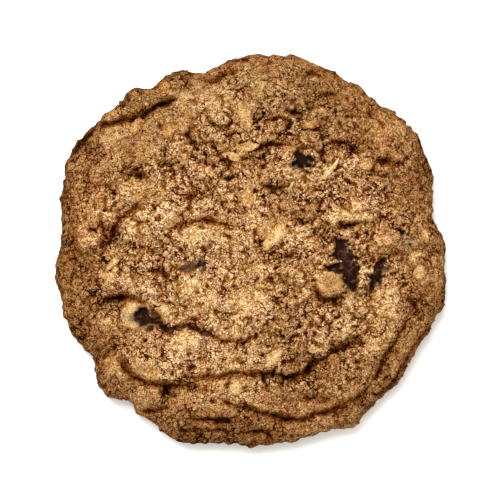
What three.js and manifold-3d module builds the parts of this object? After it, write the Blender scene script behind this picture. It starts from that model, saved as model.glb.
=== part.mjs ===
// Oatmeal chocolate chip cookie: a thick round of dough with a craggy, folded crust, rolled oat
// flakes baked into it and dark chocolate chips half sunk in its top.
// Millimetres. +Z is up and the cookie rests on z = 0. Seen from above, +X is right and +Y is away.

import * as THREE from "three";
import { ImprovedNoise } from "three/addons/math/ImprovedNoise.js";
import { mergeVertices } from "three/addons/utils/BufferGeometryUtils.js";
import Module from "manifold-3d";

// Dough: overall sizes
const MEAN_RADIUS = 45;
const CENTRE_HEIGHT = 12.2;
const WAIST_HEIGHT = 2.2; // level of the widest girth
const TUCK_DEPTH = 4.5; // depth to which the edge rounds in below the waist
const ROUNDNESS = 2.8; // power of the cross section: 2 is an ellipse, higher is squarer
const EDGE_GRIP = 3; // power with which the uneven edge fades out towards the middle
const RELIEF_START = 3; // height at which folds and lumps begin
const RELIEF_FULL = 6.5; // height from which they have their full depth
const CRUST_SPLITS = 17; // splits of each edge of the icosahedron under the crust
const TOP_SHARE = 0.92; // share of the facets that covers the top and sides
const SECTION_STEPS = 60;

// Crags: unevenness of the crust, as wave length and height
const CRAGS = [
  { length: 11, height: 0.9 },
  { length: 5.5, height: 1.0 },
];

// Edge: bearing of each bulge or notch in degrees from +X, its rise, and its spread in degrees
const EDGE_WAVES = [
  [11, -2.6, 5],
  [37, 1.6, 7],
  [49, -0.9, 4],
  [74, 0.9, 7],
  [104, -2.5, 6],
  [121, -1.3, 2.2],
  [126, 0.7, 1.6],
  [145, 1.2, 5.5],
  [154.5, 1.4, 4],
  [176, -1.9, 4.5],
  [214, -1.6, 3],
  [224.5, 2.1, 3],
  [231, -0.9, 1.6],
  [235, 0.8, 1.8],
  [249.5, 1.6, 5.5],
  [264, -0.4, 3],
  [279, -0.6, 4],
  [300.5, 1.5, 3.2],
  [310, 0.6, 5],
  [328, -0.5, 5],
  [345, 0.8, 4],
];

// Lumps: place from the middle, radius and rise
const LUMPS = [
  { x: -37.5, y: 3.5, radius: 2.8, rise: 1.0 },
  { x: -24.5, y: 11.5, radius: 2.0, rise: 0.9 },
  { x: -20.5, y: 6.5, radius: 3.4, rise: 0.8 },
  { x: -10.0, y: 9.0, radius: 2.2, rise: 0.9 },
  { x: -13.7, y: -20.8, radius: 3.0, rise: 1.5 },
  { x: -15.8, y: -25.0, radius: 2.4, rise: 0.8 },
  { x: -27.8, y: -15.0, radius: 2.2, rise: 1.1 },
  { x: 1.0, y: -13.0, radius: 3.4, rise: 0.8 },
  { x: -31.0, y: -27.5, radius: 2.4, rise: 0.9 },
  { x: 18.0, y: -8.2, radius: 2.8, rise: 1.6 },
  { x: 24.5, y: 8.8, radius: 2.8, rise: 1.2 },
  { x: 20.5, y: 6.6, radius: 2.4, rise: 1.0 },
  { x: 32.0, y: -13.2, radius: 3.2, rise: 1.0 },
  { x: 33.0, y: 24.0, radius: 4.8, rise: 1.1 },
  { x: 21.7, y: -32.0, radius: 2.4, rise: 0.8 },
  { x: 26.7, y: -24.0, radius: 2.6, rise: 0.8 },
];

// Folds and cracks: depth, half width, how much higher the left side of the run stands, and the run
const FOLD_STEP_REACH = 5;
const FOLD_END_SHARE = 0.15; // share of the run over which each end dies away
const FOLD_END_DEPTH = 0.15; // share of the depth left at the very end
const FOLD_SAMPLES = 40;
const FOLDS = [
  { depth: 2.2, width: 1.3, step: 0, run: [[-34.5, 28], [-29.5, 29.5], [-25, 30], [-21, 32.7], [-16, 34.5]] },
  { depth: 0.9, width: 1.0, step: 0, run: [[-12, 38], [-7, 39], [-2, 41]] },
  { depth: 1.5, width: 1.1, step: 0, run: [[-33, 3], [-29.2, 7], [-25.8, 8.8], [-22, 10.5]] },
  { depth: 1.5, width: 1.1, step: 0, run: [[-34.5, -12], [-28, -11], [-22.5, -13], [-18, -18]] },
  { depth: 1.5, width: 1.1, step: 0, run: [[-19.5, -17], [-14, -18.5], [-8, -19.5], [2.5, -19]] },
  { depth: 1.4, width: 1.2, step: 0.8, run: [[-30, -24], [-26, -29], [-18, -31], [-9, -29]] },
  { depth: 1.3, width: 1.2, step: 0.9, run: [[-3, -28], [8, -29.5], [12, -28.3], [16, -24.7], [26, -19.5]] },
  { depth: 1.4, width: 1.2, step: 1.2, run: [[-7, -34], [1, -36.3], [9.6, -38.6], [17, -36.3], [23, -33]] },
  { depth: 1.4, width: 1.2, step: 1.2, run: [[23, -32.5], [28, -30], [30.6, -24.4], [34.5, -17]] },
  { depth: 1.1, width: 1.0, step: 0, run: [[-26, -36], [-18, -36]] },
  { depth: 1.1, width: 1.0, step: 0, run: [[-11, -38], [-3.5, -39.5], [5, -42]] },
  { depth: 1.2, width: 1.0, step: 0, run: [[2.5, 23.4], [7, 24.8], [11.5, 23.4]] },
  { depth: 1.2, width: 1.0, step: 0, run: [[12, 26.7], [17.6, 27.8]] },
  { depth: 1.1, width: 1.0, step: 0, run: [[19, 24.4], [23, 23.4], [25.2, 21]] },
  { depth: 1.1, width: 1.0, step: 0, run: [[-8.2, 22.8], [-5.5, 20.2], [-2.3, 20.6]] },
  { depth: 1.1, width: 1.0, step: 0, run: [[-15, 5.6], [-5.5, 5]] },
  { depth: 1.1, width: 1.0, step: 0, run: [[18, 4], [21.7, 5.3], [27.5, 5]] },
];

// Chips: place, length, width, turn in degrees, and how far the top stands out of the dough
const CHIP_HALF_HEIGHT = 3.1;
const CHIP_BASE_SHARE = 0.55; // depth of the flat underside against the rounded top
const CHIP_TAPER = 0.1; // narrowing towards the tip
const CHIP_CROWN = 0.6; // power of the melted top: 1 is round, lower is flatter
const CHIP_UNEVENNESS = 0.12;
const CHIP_NOISE_STEP = 5; // keeps each chip's unevenness its own
const CHIP_SIDES = 12;
const CHIP_RINGS = 8;
const CHIP_CLEARANCE = 0.3;
const CHIPS = [
  { x: -23.6, y: -15.4, length: 7.2, width: 5.6, turn: -15, show: 0.4 },
  { x: -17.6, y: -18.4, length: 5.6, width: 4.2, turn: -20, show: 0.3 },
  { x: -10.2, y: -19.4, length: 5.4, width: 5.0, turn: -35, show: 0.3 },
  { x: -11.2, y: -3.2, length: 5.4, width: 4.6, turn: 10, show: 0.2 },
  { x: 21.8, y: -2.8, length: 9.4, width: 5.8, turn: 100, show: 0.4 },
  { x: 28.9, y: -5.0, length: 6.4, width: 5.0, turn: 80, show: 0.3 },
  { x: 12.4, y: 20.3, length: 6.8, width: 5.0, turn: -10, show: 0.3 },
  { x: 35.9, y: 1.6, length: 5.6, width: 5.2, turn: 0, show: 0.2 },
];

// Oat flakes: the ones that stand out, as place, length, width and turn in degrees
const FLAKE_THICKNESS = 1.0;
const FLAKE_SIDES = 8;
const FLAKE_CROWN = 0.82; // width of the upper face against the lower one
const FLAKE_LIFT = 0.02; // how far the flake's middle lies above the crust
const FLAKE_LEAN = 0.22; // most that a flake leans out of the crust, in radians
const SHOWN_FLAKES = [
  [-1.0, 30.5, 7.4, 3.4, 100],
  [5.6, 3.0, 7.8, 3.4, 55],
  [17.8, 18.2, 6.6, 2.2, 40],
  [0.0, 23.8, 4.8, 2.8, 5],
  [-19.5, 37.2, 4.6, 3.0, 70],
  [-26.0, 27.4, 4.8, 2.6, 50],
  [5.3, -24.8, 5.8, 3.0, 40],
  [-3.2, -31.6, 3.8, 3.6, 0],
  [-0.6, 11.6, 4.8, 4.0, 110],
  [26.4, 19.4, 4.2, 3.2, 20],
  [42.0, 4.0, 4.6, 3.4, 100],
  [42.6, -5.4, 5.2, 2.6, 100],
  [38.4, -5.4, 3.8, 3.2, 60],
  [-31.4, -3.4, 4.2, 2.4, 45],
  [22.4, -40.0, 4.2, 2.4, 10],
];

// Oat flakes: the rest, spread evenly over the crust along a spiral
const SPREAD_COUNT = 38;
const SPREAD_LENGTH = [3.6, 5.6];
const SPREAD_WIDTH = [2.4, 3.4];
const SPREAD_JITTER = 1.5;
const SPREAD_GAP = 1.2; // least room between a flake and its neighbours
const GOLDEN_ANGLE = Math.PI * (3 - Math.sqrt(5));
const FLAKE_SEED = 11;

// Rays that find the crust start from outside it: from above over the top, level at the side
const RAY_START = 100;
const RAY_HEIGHT = 5;
const TOP_RADIUS = 0.93 * MEAN_RADIUS;

const WELD_DISTANCE = 1e-4;

// Linear congruential random numbers
const RANDOM_FACTOR = 1664525;
const RANDOM_STEP = 1013904223;
const RANDOM_RANGE = 2 ** 32;

const DOUGH_COLOUR = 0x9c6e42;
const CHOCOLATE_COLOUR = 0x2b1813;

const wasm = await Module();
wasm.setup();
const noise = new ImprovedNoise();

/** Bell curve: 1 in the middle, falling away over the reach. */
function bell(distance, reach) {
  return Math.exp(-0.5 * (distance / reach) ** 2);
}

/** Seeded random numbers between a low and a high value. */
function seededRandom(seed) {
  let state = seed;
  return (low, high) => {
    state = (state * RANDOM_FACTOR + RANDOM_STEP) % RANDOM_RANGE;
    return low + (high - low) * (state / RANDOM_RANGE);
  };
}

/** Closed geometry as a solid that can be joined and cut. */
function solidFrom(geometry) {
  const bare = geometry.clone();
  bare.deleteAttribute("normal");
  bare.deleteAttribute("uv");
  const welded = mergeVertices(bare, WELD_DISTANCE);
  const shape = {
    numProp: 3,
    vertProperties: welded.getAttribute("position").array,
    triVerts: Uint32Array.from(welded.getIndex().array),
  };
  return new wasm.Manifold(new wasm.Mesh(shape));
}

/** The largest connected body of a solid, as geometry. */
function geometryFrom(solid) {
  const bodies = solid.decompose();
  bodies.sort((one, other) => other.volume() - one.volume());
  const { vertProperties, triVerts } = bodies[0].getMesh();
  const geometry = new THREE.BufferGeometry();
  geometry.setAttribute("position", new THREE.BufferAttribute(vertProperties, 3));
  geometry.setIndex(new THREE.BufferAttribute(triVerts, 1));
  geometry.computeVertexNormals();
  return geometry;
}

/** Radius of the uneven edge at a bearing in radians. */
function edgeRadius(bearing) {
  let radius = MEAN_RADIUS;
  for (const [degrees, rise, spread] of EDGE_WAVES) {
    const turn = THREE.MathUtils.radToDeg(bearing) - degrees;
    const apart = THREE.MathUtils.euclideanModulo(turn + 180, 360) - 180;
    radius += rise * bell(apart, spread);
  }
  return radius;
}

/** Rounded-square cross section, from the middle of the top round the edge to under the middle. */
function crossSection() {
  const points = [];
  for (let step = 0; step <= SECTION_STEPS; step += 1) {
    const lean = (step / SECTION_STEPS) * Math.PI;
    const outward = Math.abs(Math.sin(lean)) ** (2 / ROUNDNESS);
    const upward = Math.abs(Math.cos(lean)) ** (2 / ROUNDNESS);
    const height = lean < Math.PI / 2
      ? WAIST_HEIGHT + (CENTRE_HEIGHT - WAIST_HEIGHT) * upward
      : WAIST_HEIGHT - TUCK_DEPTH * upward;
    points.push(new THREE.Vector2(MEAN_RADIUS * outward, height));
  }
  return new THREE.SplineCurve(points);
}

/** Share of the section's length at which it reaches the tucked-in foot. */
function footShare(section) {
  let share = 1;
  while (section.getPointAt(share).y < 0) {
    share -= 0.5 / SECTION_STEPS;
  }
  return share;
}

/** Fold with its run sampled once, ready to measure distances from. */
function sampledFold({ depth, width, step, run }) {
  const curve = new THREE.SplineCurve(run.map(([x, y]) => new THREE.Vector2(x, y)));
  return { depth, width, step, points: curve.getSpacedPoints(FOLD_SAMPLES) };
}

/** Height that one fold adds at a place. */
function foldRelief(fold, x, y) {
  let nearest = Infinity;
  let index = 0;
  fold.points.forEach((point, place) => {
    const distance = Math.hypot(x - point.x, y - point.y);
    if (distance < nearest) {
      nearest = distance;
      index = place;
    }
  });
  const before = fold.points[Math.max(index - 1, 0)];
  const after = fold.points[Math.min(index + 1, FOLD_SAMPLES)];
  const left = (after.x - before.x) * (y - before.y) - (after.y - before.y) * (x - before.x);
  const share = index / FOLD_SAMPLES;
  const strength = Math.min(1, FOLD_END_DEPTH + Math.min(share, 1 - share) / FOLD_END_SHARE);
  const side = Math.sign(left) * Math.tanh(nearest / fold.width);
  const step = 0.5 * fold.step * side * bell(nearest, FOLD_STEP_REACH);
  return strength * (step - fold.depth * bell(nearest, fold.width));
}

const sampledFolds = FOLDS.map(sampledFold);

/** Height that lumps and folds add to the top at a place. */
function relief(x, y) {
  let height = 0;
  for (const lump of LUMPS) {
    height += lump.rise * bell(Math.hypot(x - lump.x, y - lump.y), lump.radius);
  }
  for (const fold of sampledFolds) {
    height += foldRelief(fold, x, y);
  }
  return height;
}

/** Unevenness of the crust at a point. */
function crag(point) {
  let height = 0;
  for (const wave of CRAGS) {
    const scale = 1 / wave.length;
    height += wave.height * noise.noise(point.x * scale, point.y * scale, point.z * scale + wave.length);
  }
  return height;
}

/** Bare crust: an even ball of facets drawn out to the cookie's form. */
function crustGeometry() {
  const geometry = new THREE.IcosahedronGeometry(1, CRUST_SPLITS);
  const section = crossSection();
  const foot = footShare(section);
  const rim = Math.sqrt(TOP_SHARE);
  const place = geometry.getAttribute("position");
  const point = new THREE.Vector3();
  const outward = new THREE.Vector3();
  for (let index = 0; index < place.count; index += 1) {
    point.fromBufferAttribute(place, index).normalize();
    const bearing = Math.atan2(point.y, point.x);
    const reach = Math.sqrt(Math.max(0, (1 - point.z) / 2));
    const along = reach < rim ? foot * (reach / rim) : foot + (1 - foot) * ((reach - rim) / (1 - rim));
    const share = Math.min(along, 1);
    const spot = section.getPointAt(share);
    const tangent = section.getTangentAt(share);
    const stretch = 1 + (edgeRadius(bearing) / MEAN_RADIUS - 1) * (spot.x / MEAN_RADIUS) ** EDGE_GRIP;
    point.set(spot.x * stretch * Math.cos(bearing), spot.x * stretch * Math.sin(bearing), spot.y);
    outward.set(-tangent.y * Math.cos(bearing), -tangent.y * Math.sin(bearing), tangent.x);
    const lift = relief(point.x, point.y) * THREE.MathUtils.smoothstep(spot.y, RELIEF_START, RELIEF_FULL);
    point.addScaledVector(outward, crag(point));
    point.z += lift;
    place.setXYZ(index, point.x, point.y, point.z);
  }
  return geometry;
}

/** Where a ray from outside meets the crust, and which way the crust faces there. */
function crustAt(crust, x, y) {
  const inside = Math.hypot(x, y) < TOP_RADIUS;
  const bearing = Math.atan2(y, x);
  const start = inside
    ? new THREE.Vector3(x, y, RAY_START)
    : new THREE.Vector3(RAY_START * Math.cos(bearing), RAY_START * Math.sin(bearing), RAY_HEIGHT);
  const heading = inside
    ? new THREE.Vector3(0, 0, -1)
    : new THREE.Vector3(-Math.cos(bearing), -Math.sin(bearing), 0);
  const [hit] = new THREE.Raycaster(start, heading).intersectObject(crust);
  return { point: hit.point, normal: hit.face.normal };
}

/** Rounded drop of chocolate with a flat underside, its middle at the origin. */
function chipGeometry(number) {
  const geometry = new THREE.SphereGeometry(1, CHIP_SIDES, CHIP_RINGS);
  geometry.rotateX(Math.PI / 2);
  const place = geometry.getAttribute("position");
  for (let index = 0; index < place.count; index += 1) {
    const x = place.getX(index);
    const y = place.getY(index);
    const z = place.getZ(index);
    const uneven = 1 + CHIP_UNEVENNESS * noise.noise(x + CHIP_NOISE_STEP * number, y, z);
    const wide = uneven * (1 - CHIP_TAPER * Math.max(z, 0));
    place.setXYZ(index, x * wide, y * wide, z < 0 ? z * CHIP_BASE_SHARE : z ** CHIP_CROWN);
  }
  return geometry;
}

/** Sizes, turn and place of a chip, widened by a margin, as one matrix. */
function chipMatrix(chip, top, margin) {
  const turn = new THREE.Quaternion().setFromAxisAngle(
    new THREE.Vector3(0, 0, 1),
    THREE.MathUtils.degToRad(chip.turn),
  );
  const middle = new THREE.Vector3(chip.x, chip.y, top + chip.show - CHIP_HALF_HEIGHT);
  const size = new THREE.Vector3(
    chip.length / 2 + margin,
    chip.width / 2 + margin,
    CHIP_HALF_HEIGHT + margin,
  );
  return new THREE.Matrix4().compose(middle, turn, size);
}

/** Oval oat flake lying on the crust, with a small lean. */
function flakeGeometry(crust, [x, y, length, width, turn], random) {
  const geometry = new THREE.CylinderGeometry(FLAKE_CROWN, 1, 1, FLAKE_SIDES);
  geometry.rotateX(Math.PI / 2);
  const { point, normal } = crustAt(crust, x, y);
  const facing = new THREE.Vector3(
    normal.x + random(-FLAKE_LEAN, FLAKE_LEAN),
    normal.y + random(-FLAKE_LEAN, FLAKE_LEAN),
    normal.z,
  ).normalize();
  const tip = new THREE.Quaternion().setFromUnitVectors(new THREE.Vector3(0, 0, 1), facing);
  const spin = new THREE.Quaternion().setFromAxisAngle(
    new THREE.Vector3(0, 0, 1),
    THREE.MathUtils.degToRad(turn),
  );
  const size = new THREE.Vector3(length / 2, width / 2, FLAKE_THICKNESS);
  point.addScaledVector(facing, FLAKE_LIFT);
  return geometry.applyMatrix4(new THREE.Matrix4().compose(point, tip.multiply(spin), size));
}

/** Whether a flake keeps clear of the chips and, if asked, of other flakes. */
function hasRoom([x, y, length], others) {
  const clearOfChips = CHIPS.every(
    (chip) => Math.hypot(x - chip.x, y - chip.y) > (chip.length + length) / 2 + CHIP_CLEARANCE,
  );
  const clearOfFlakes = others.every(
    ([otherX, otherY, otherLength]) =>
      Math.hypot(x - otherX, y - otherY) > (otherLength + length) / 2 + SPREAD_GAP,
  );
  return clearOfChips && clearOfFlakes;
}

/** All flakes: the ones that stand out, then smaller ones along a spiral from the middle. */
function flakeList(random) {
  const flakes = SHOWN_FLAKES.filter((flake) => hasRoom(flake, []));
  for (let step = 0; step < SPREAD_COUNT; step += 1) {
    const radius = TOP_RADIUS * Math.sqrt((step + 0.5) / SPREAD_COUNT);
    const bearing = step * GOLDEN_ANGLE;
    const flake = [
      radius * Math.cos(bearing) + random(-SPREAD_JITTER, SPREAD_JITTER),
      radius * Math.sin(bearing) + random(-SPREAD_JITTER, SPREAD_JITTER),
      random(...SPREAD_LENGTH),
      random(...SPREAD_WIDTH),
      random(0, 180),
    ];
    if (hasRoom(flake, flakes)) {
      flakes.push(flake);
    }
  }
  return flakes;
}

/** Dough with a flat base, its oat flakes joined on and a pocket for each chip. */
function doughGeometry(crust, chipTops) {
  const floor = new THREE.BoxGeometry(4 * MEAN_RADIUS, 4 * MEAN_RADIUS, MEAN_RADIUS);
  floor.translate(0, 0, -MEAN_RADIUS / 2);
  const random = seededRandom(FLAKE_SEED);
  let solid = solidFrom(crust.geometry);
  for (const flake of flakeList(random)) {
    solid = solid.add(solidFrom(flakeGeometry(crust, flake, random)));
  }
  solid = solid.subtract(solidFrom(floor));
  CHIPS.forEach((chip, number) => {
    const pocket = chipGeometry(number).applyMatrix4(chipMatrix(chip, chipTops[number], CHIP_CLEARANCE));
    solid = solid.subtract(solidFrom(pocket));
  });
  return geometryFrom(solid);
}

/** Named mesh with a material of its own. */
function namedMesh(name, geometry, color, roughness) {
  const mesh = new THREE.Mesh(geometry, new THREE.MeshStandardMaterial({ color, roughness, metalness: 0 }));
  mesh.name = name;
  return mesh;
}

const crust = new THREE.Mesh(crustGeometry());
const chipTops = CHIPS.map((chip) => crustAt(crust, chip.x, chip.y).point.z);

const cookie = new THREE.Group();
cookie.name = "oatmeal_chocolate_chip_cookie";
cookie.add(namedMesh("dough", doughGeometry(crust, chipTops), DOUGH_COLOUR, 0.9));
CHIPS.forEach((chip, number) => {
  const mesh = namedMesh(`chocolate_chip_${number + 1}`, chipGeometry(number), CHOCOLATE_COLOUR, 0.45);
  chipMatrix(chip, chipTops[number], 0).decompose(mesh.position, mesh.quaternion, mesh.scale);
  cookie.add(mesh);
});

export default cookie;
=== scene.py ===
"""Dresses the oatmeal chocolate chip cookie: its crust, oat flakes, crumbs and chocolate chips.

Sizes and places are in millimetres from the middle of the base until a mesh is made of them.
Seen from above, +X is right and +Y is away.
"""

import itertools
import logging
import math
from dataclasses import dataclass, field
from enum import Enum

import bmesh
import bpy
import numpy as np
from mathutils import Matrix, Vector


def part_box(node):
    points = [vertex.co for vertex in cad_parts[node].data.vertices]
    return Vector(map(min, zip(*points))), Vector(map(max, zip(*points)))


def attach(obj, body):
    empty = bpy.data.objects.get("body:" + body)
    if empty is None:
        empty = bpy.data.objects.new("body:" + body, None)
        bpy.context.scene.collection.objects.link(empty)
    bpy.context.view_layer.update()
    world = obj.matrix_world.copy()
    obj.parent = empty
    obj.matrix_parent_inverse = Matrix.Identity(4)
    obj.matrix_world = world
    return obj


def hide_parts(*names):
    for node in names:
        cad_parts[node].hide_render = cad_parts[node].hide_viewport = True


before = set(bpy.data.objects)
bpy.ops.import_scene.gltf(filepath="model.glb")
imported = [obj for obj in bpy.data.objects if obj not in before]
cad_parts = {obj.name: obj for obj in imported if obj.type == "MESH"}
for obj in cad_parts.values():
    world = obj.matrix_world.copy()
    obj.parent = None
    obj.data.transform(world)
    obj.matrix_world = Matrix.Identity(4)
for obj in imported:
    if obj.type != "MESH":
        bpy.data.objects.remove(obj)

LOG = logging.getLogger("cookie")
MILLIMETRE = 0.001
BODY = "root"
BAKE_MAP = "OFBake"

Floats = np.ndarray
Span = tuple[float, float]
Places = tuple[tuple[float, float], ...]
Widths = tuple[tuple[float, float, float], ...]
Films = tuple[tuple[float, float, float, float], ...]
Material = bpy.types.Material
Socket = bpy.types.NodeSocket


class Layer(Enum):
    """Values kept for each point of a mesh, which its material reads."""

    TOAST = "toast"
    # Painted shade: darker colour in hollows, pores, folds, cracks and under grains; on the chips it only
    # takes away bloom.
    SHADE = "shade"
    COCOA = "cocoa"
    FILM = "film"
    # Painted sheen that greys the back of the crust, and the real grey of the thin dough over the chips.
    PAINTED_SHEEN_AND_FILM_GREY = "greyed"
    BARE = "bare"


class Grade(Enum):
    """Kinds of crumb that lie loose on the crust."""

    COARSE = "coarse_crumbs"
    FINE = "fine_crumbs"
    BRAN = "bran_specks"


class Facets(Enum):
    """How many sides a loose crumb has before it is made uneven."""

    FEW = 8
    MANY = 20


@dataclass(frozen=True)
class Tint:
    """A colour as a screen shows it, each part from 0 to 255."""

    red: int
    green: int
    blue: int

    def linear(self) -> tuple[float, float, float, float]:
        """Turns the colour into the linear values that shaders use.

        Returns:
            Red, green, blue and full cover.
        """
        parts = np.array((self.red, self.green, self.blue)) / 255
        low = parts / 12.92
        high = ((parts + 0.055) / 1.055) ** 2.4
        red, green, blue = np.where(parts <= 0.04045, low, high)
        return float(red), float(green), float(blue), 1.0


@dataclass(frozen=True)
class Ripple:
    """Random waves: their height, their length and where in the random relief they are read."""

    height: float
    length: float
    shift: float = 0.0


@dataclass(frozen=True)
class EdgeWave:
    """A bulge or notch of the edge: bearing and spread in degrees, rise in millimetres."""

    bearing: float
    rise: float
    spread: float


@dataclass(frozen=True)
class Lump:
    """A rounded clump of dough on the top, or a smooth patch of it where the rise is 0."""

    x: float
    y: float
    radius: float
    rise: float
    smooth: float = 0.0


@dataclass(frozen=True)
class Fold:
    """A fold or crack of the crust, with shade painted along it as darkly as its gloom.

    Its left side, along the run, stands higher by the step.
    """

    depth: float
    width: float
    run: Places
    gloom: float = 0.5
    step: float = 0.0


@dataclass(frozen=True)
class Spot:
    """A mound painted paler (below 0) or a hollow painted browner (above 0) of the top: partly browning,
    partly painted light on the mound and painted shade in the hollow.
    """

    x: float
    y: float
    radius: float
    toast: float


@dataclass(frozen=True)
class Flake:
    """An oat flake that stands out: its place, size, turn in degrees, brownness and bend sideways."""

    x: float
    y: float
    length: float
    width: float
    turn: float
    toast: float
    curve: float = 0.0


@dataclass(frozen=True)
class Chip:
    """A chocolate chip: its size, its turn in degrees and where it shows.

    Each opening of the dough is a run of places with half its width at each. A film is a round place
    where thin dough covers the chocolate: its middle, radius and how dark it is. The gloom is the share
    of the greyish bloom that the chip lacks, ragged is how far crumbs break the openings' edges,
    and grey is how far the films lack the dough's gold.
    """

    number: int
    length: float
    width: float
    turn: float
    openings: tuple[Widths, ...]
    films: Films = ()
    gloom: float = 0.0
    ragged: float = 1.0
    grey: float = 0.0

    @property
    def node(self) -> str:
        """Name of the chip's solid."""
        return f"chocolate_chip_{self.number}"


EDGE_WAVES = (
    EdgeWave(11, -2.6, 5), EdgeWave(37, 1.6, 7), EdgeWave(49, -0.9, 4), EdgeWave(74, 0.9, 7),
    EdgeWave(104, -2.5, 6), EdgeWave(121, -1.3, 2.2), EdgeWave(126, 0.7, 1.6), EdgeWave(145, 1.2, 5.5),
    EdgeWave(154.5, 1.4, 4), EdgeWave(176, -1.9, 4.5), EdgeWave(214, -1.6, 3), EdgeWave(224.5, 2.1, 3),
    EdgeWave(231, -0.9, 1.6), EdgeWave(235, 0.8, 1.8), EdgeWave(249.5, 1.6, 5.5), EdgeWave(264, -0.4, 3),
    EdgeWave(279, -0.6, 4), EdgeWave(300.5, 1.5, 3.2), EdgeWave(310, 0.6, 5), EdgeWave(328, -0.5, 5),
    EdgeWave(345, 0.8, 4),
)

LUMPS = (
    Lump(-36.8, 3.2, 2.8, 1.7, smooth=0.65), Lump(-26.0, 12.4, 2.2, 1.1), Lump(-28.6, 12.6, 1.4, 0.7),
    Lump(-20.8, 7.0, 3.2, 1.1), Lump(-17.4, 7.6, 1.5, 0.7), Lump(-10.5, 9.0, 2.4, 1.0),
    Lump(-12.0, 2.6, 2.4, 1.0), Lump(-27.5, 3.8, 1.5, 0.9), Lump(-30.0, -7.0, 2.4, 1.3),
    Lump(-25.6, -15.0, 3.1, 0.9, smooth=0.9), Lump(-14.0, -20.6, 2.6, 1.2, smooth=0.5),
    Lump(-16.8, -24.0, 2.0, 0.8), Lump(-19.5, -13.6, 1.6, 0.9), Lump(-13.4, -8.4, 1.8, 0.8),
    Lump(-22.0, -9.0, 1.2, 0.6), Lump(-26.0, -25.2, 1.5, 0.7), Lump(-30.6, -27.0, 2.0, 0.9),
    Lump(-22.6, -32.6, 2.4, 0.9), Lump(-12.0, -33.6, 2.4, 0.8), Lump(-12.0, -37.0, 1.6, 0.7),
    Lump(-8.0, -22.4, 1.6, 0.6), Lump(1.0, -13.2, 3.0, 0.8), Lump(3.2, -4.4, 1.5, 0.7),
    Lump(11.5, 1.6, 2.4, 0.7), Lump(18.2, -7.8, 2.7, 2.25, smooth=0.9), Lump(24.0, 8.4, 2.4, 1.2),
    Lump(27.2, 9.6, 1.8, 0.8), Lump(19.2, 7.2, 2.1, 1.3), Lump(31.5, -12.6, 2.9, 1.2),
    Lump(21.2, -17.2, 2.5, 1.0), Lump(16.0, -21.0, 2.0, 0.9), Lump(26.6, -22.8, 2.5, 1.0),
    Lump(22.4, -27.2, 1.6, 0.7), Lump(26.2, -5.4, 1.3, 0.9), Lump(30.6, 2.3, 2.2, 1.2, smooth=0.6),
    Lump(38.4, -1.6, 1.4, 0.6), Lump(34.0, -4.2, 1.5, 0.6), Lump(33.1, 24.0, 4.8, 0.9, smooth=0.55),
    Lump(25.8, 19.4, 1.6, 0.6), Lump(8.2, 22.0, 2.0, 0.7), Lump(12.0, 28.8, 2.4, 0.3),
    Lump(16.4, 31.6, 1.6, 0.6), Lump(10.4, -30.6, 1.8, 0.7), Lump(21.7, -32.0, 2.2, 0.8),
    Lump(-30.8, 26.2, 2.0, 0.5), Lump(-40.0, 20.6, 2.6, 0.7), Lump(-26.7, 35.6, 1.8, 0.8),
    Lump(-27.0, 25.0, 6.5, 0.0, smooth=0.6), Lump(-17.0, 30.5, 4.5, 0.0, smooth=0.6),
    Lump(-36.0, 16.0, 4.5, 0.0, smooth=0.45), Lump(4.0, 38.0, 5.0, 0.0, smooth=0.4),
    Lump(14.0, 36.5, 5.5, 0.0, smooth=0.5), Lump(25.0, 30.0, 6.0, 0.0, smooth=0.55),
    Lump(37.0, 12.0, 5.0, 0.0, smooth=0.5), Lump(34.0, -26.0, 4.5, 0.0, smooth=0.35),
)

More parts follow.
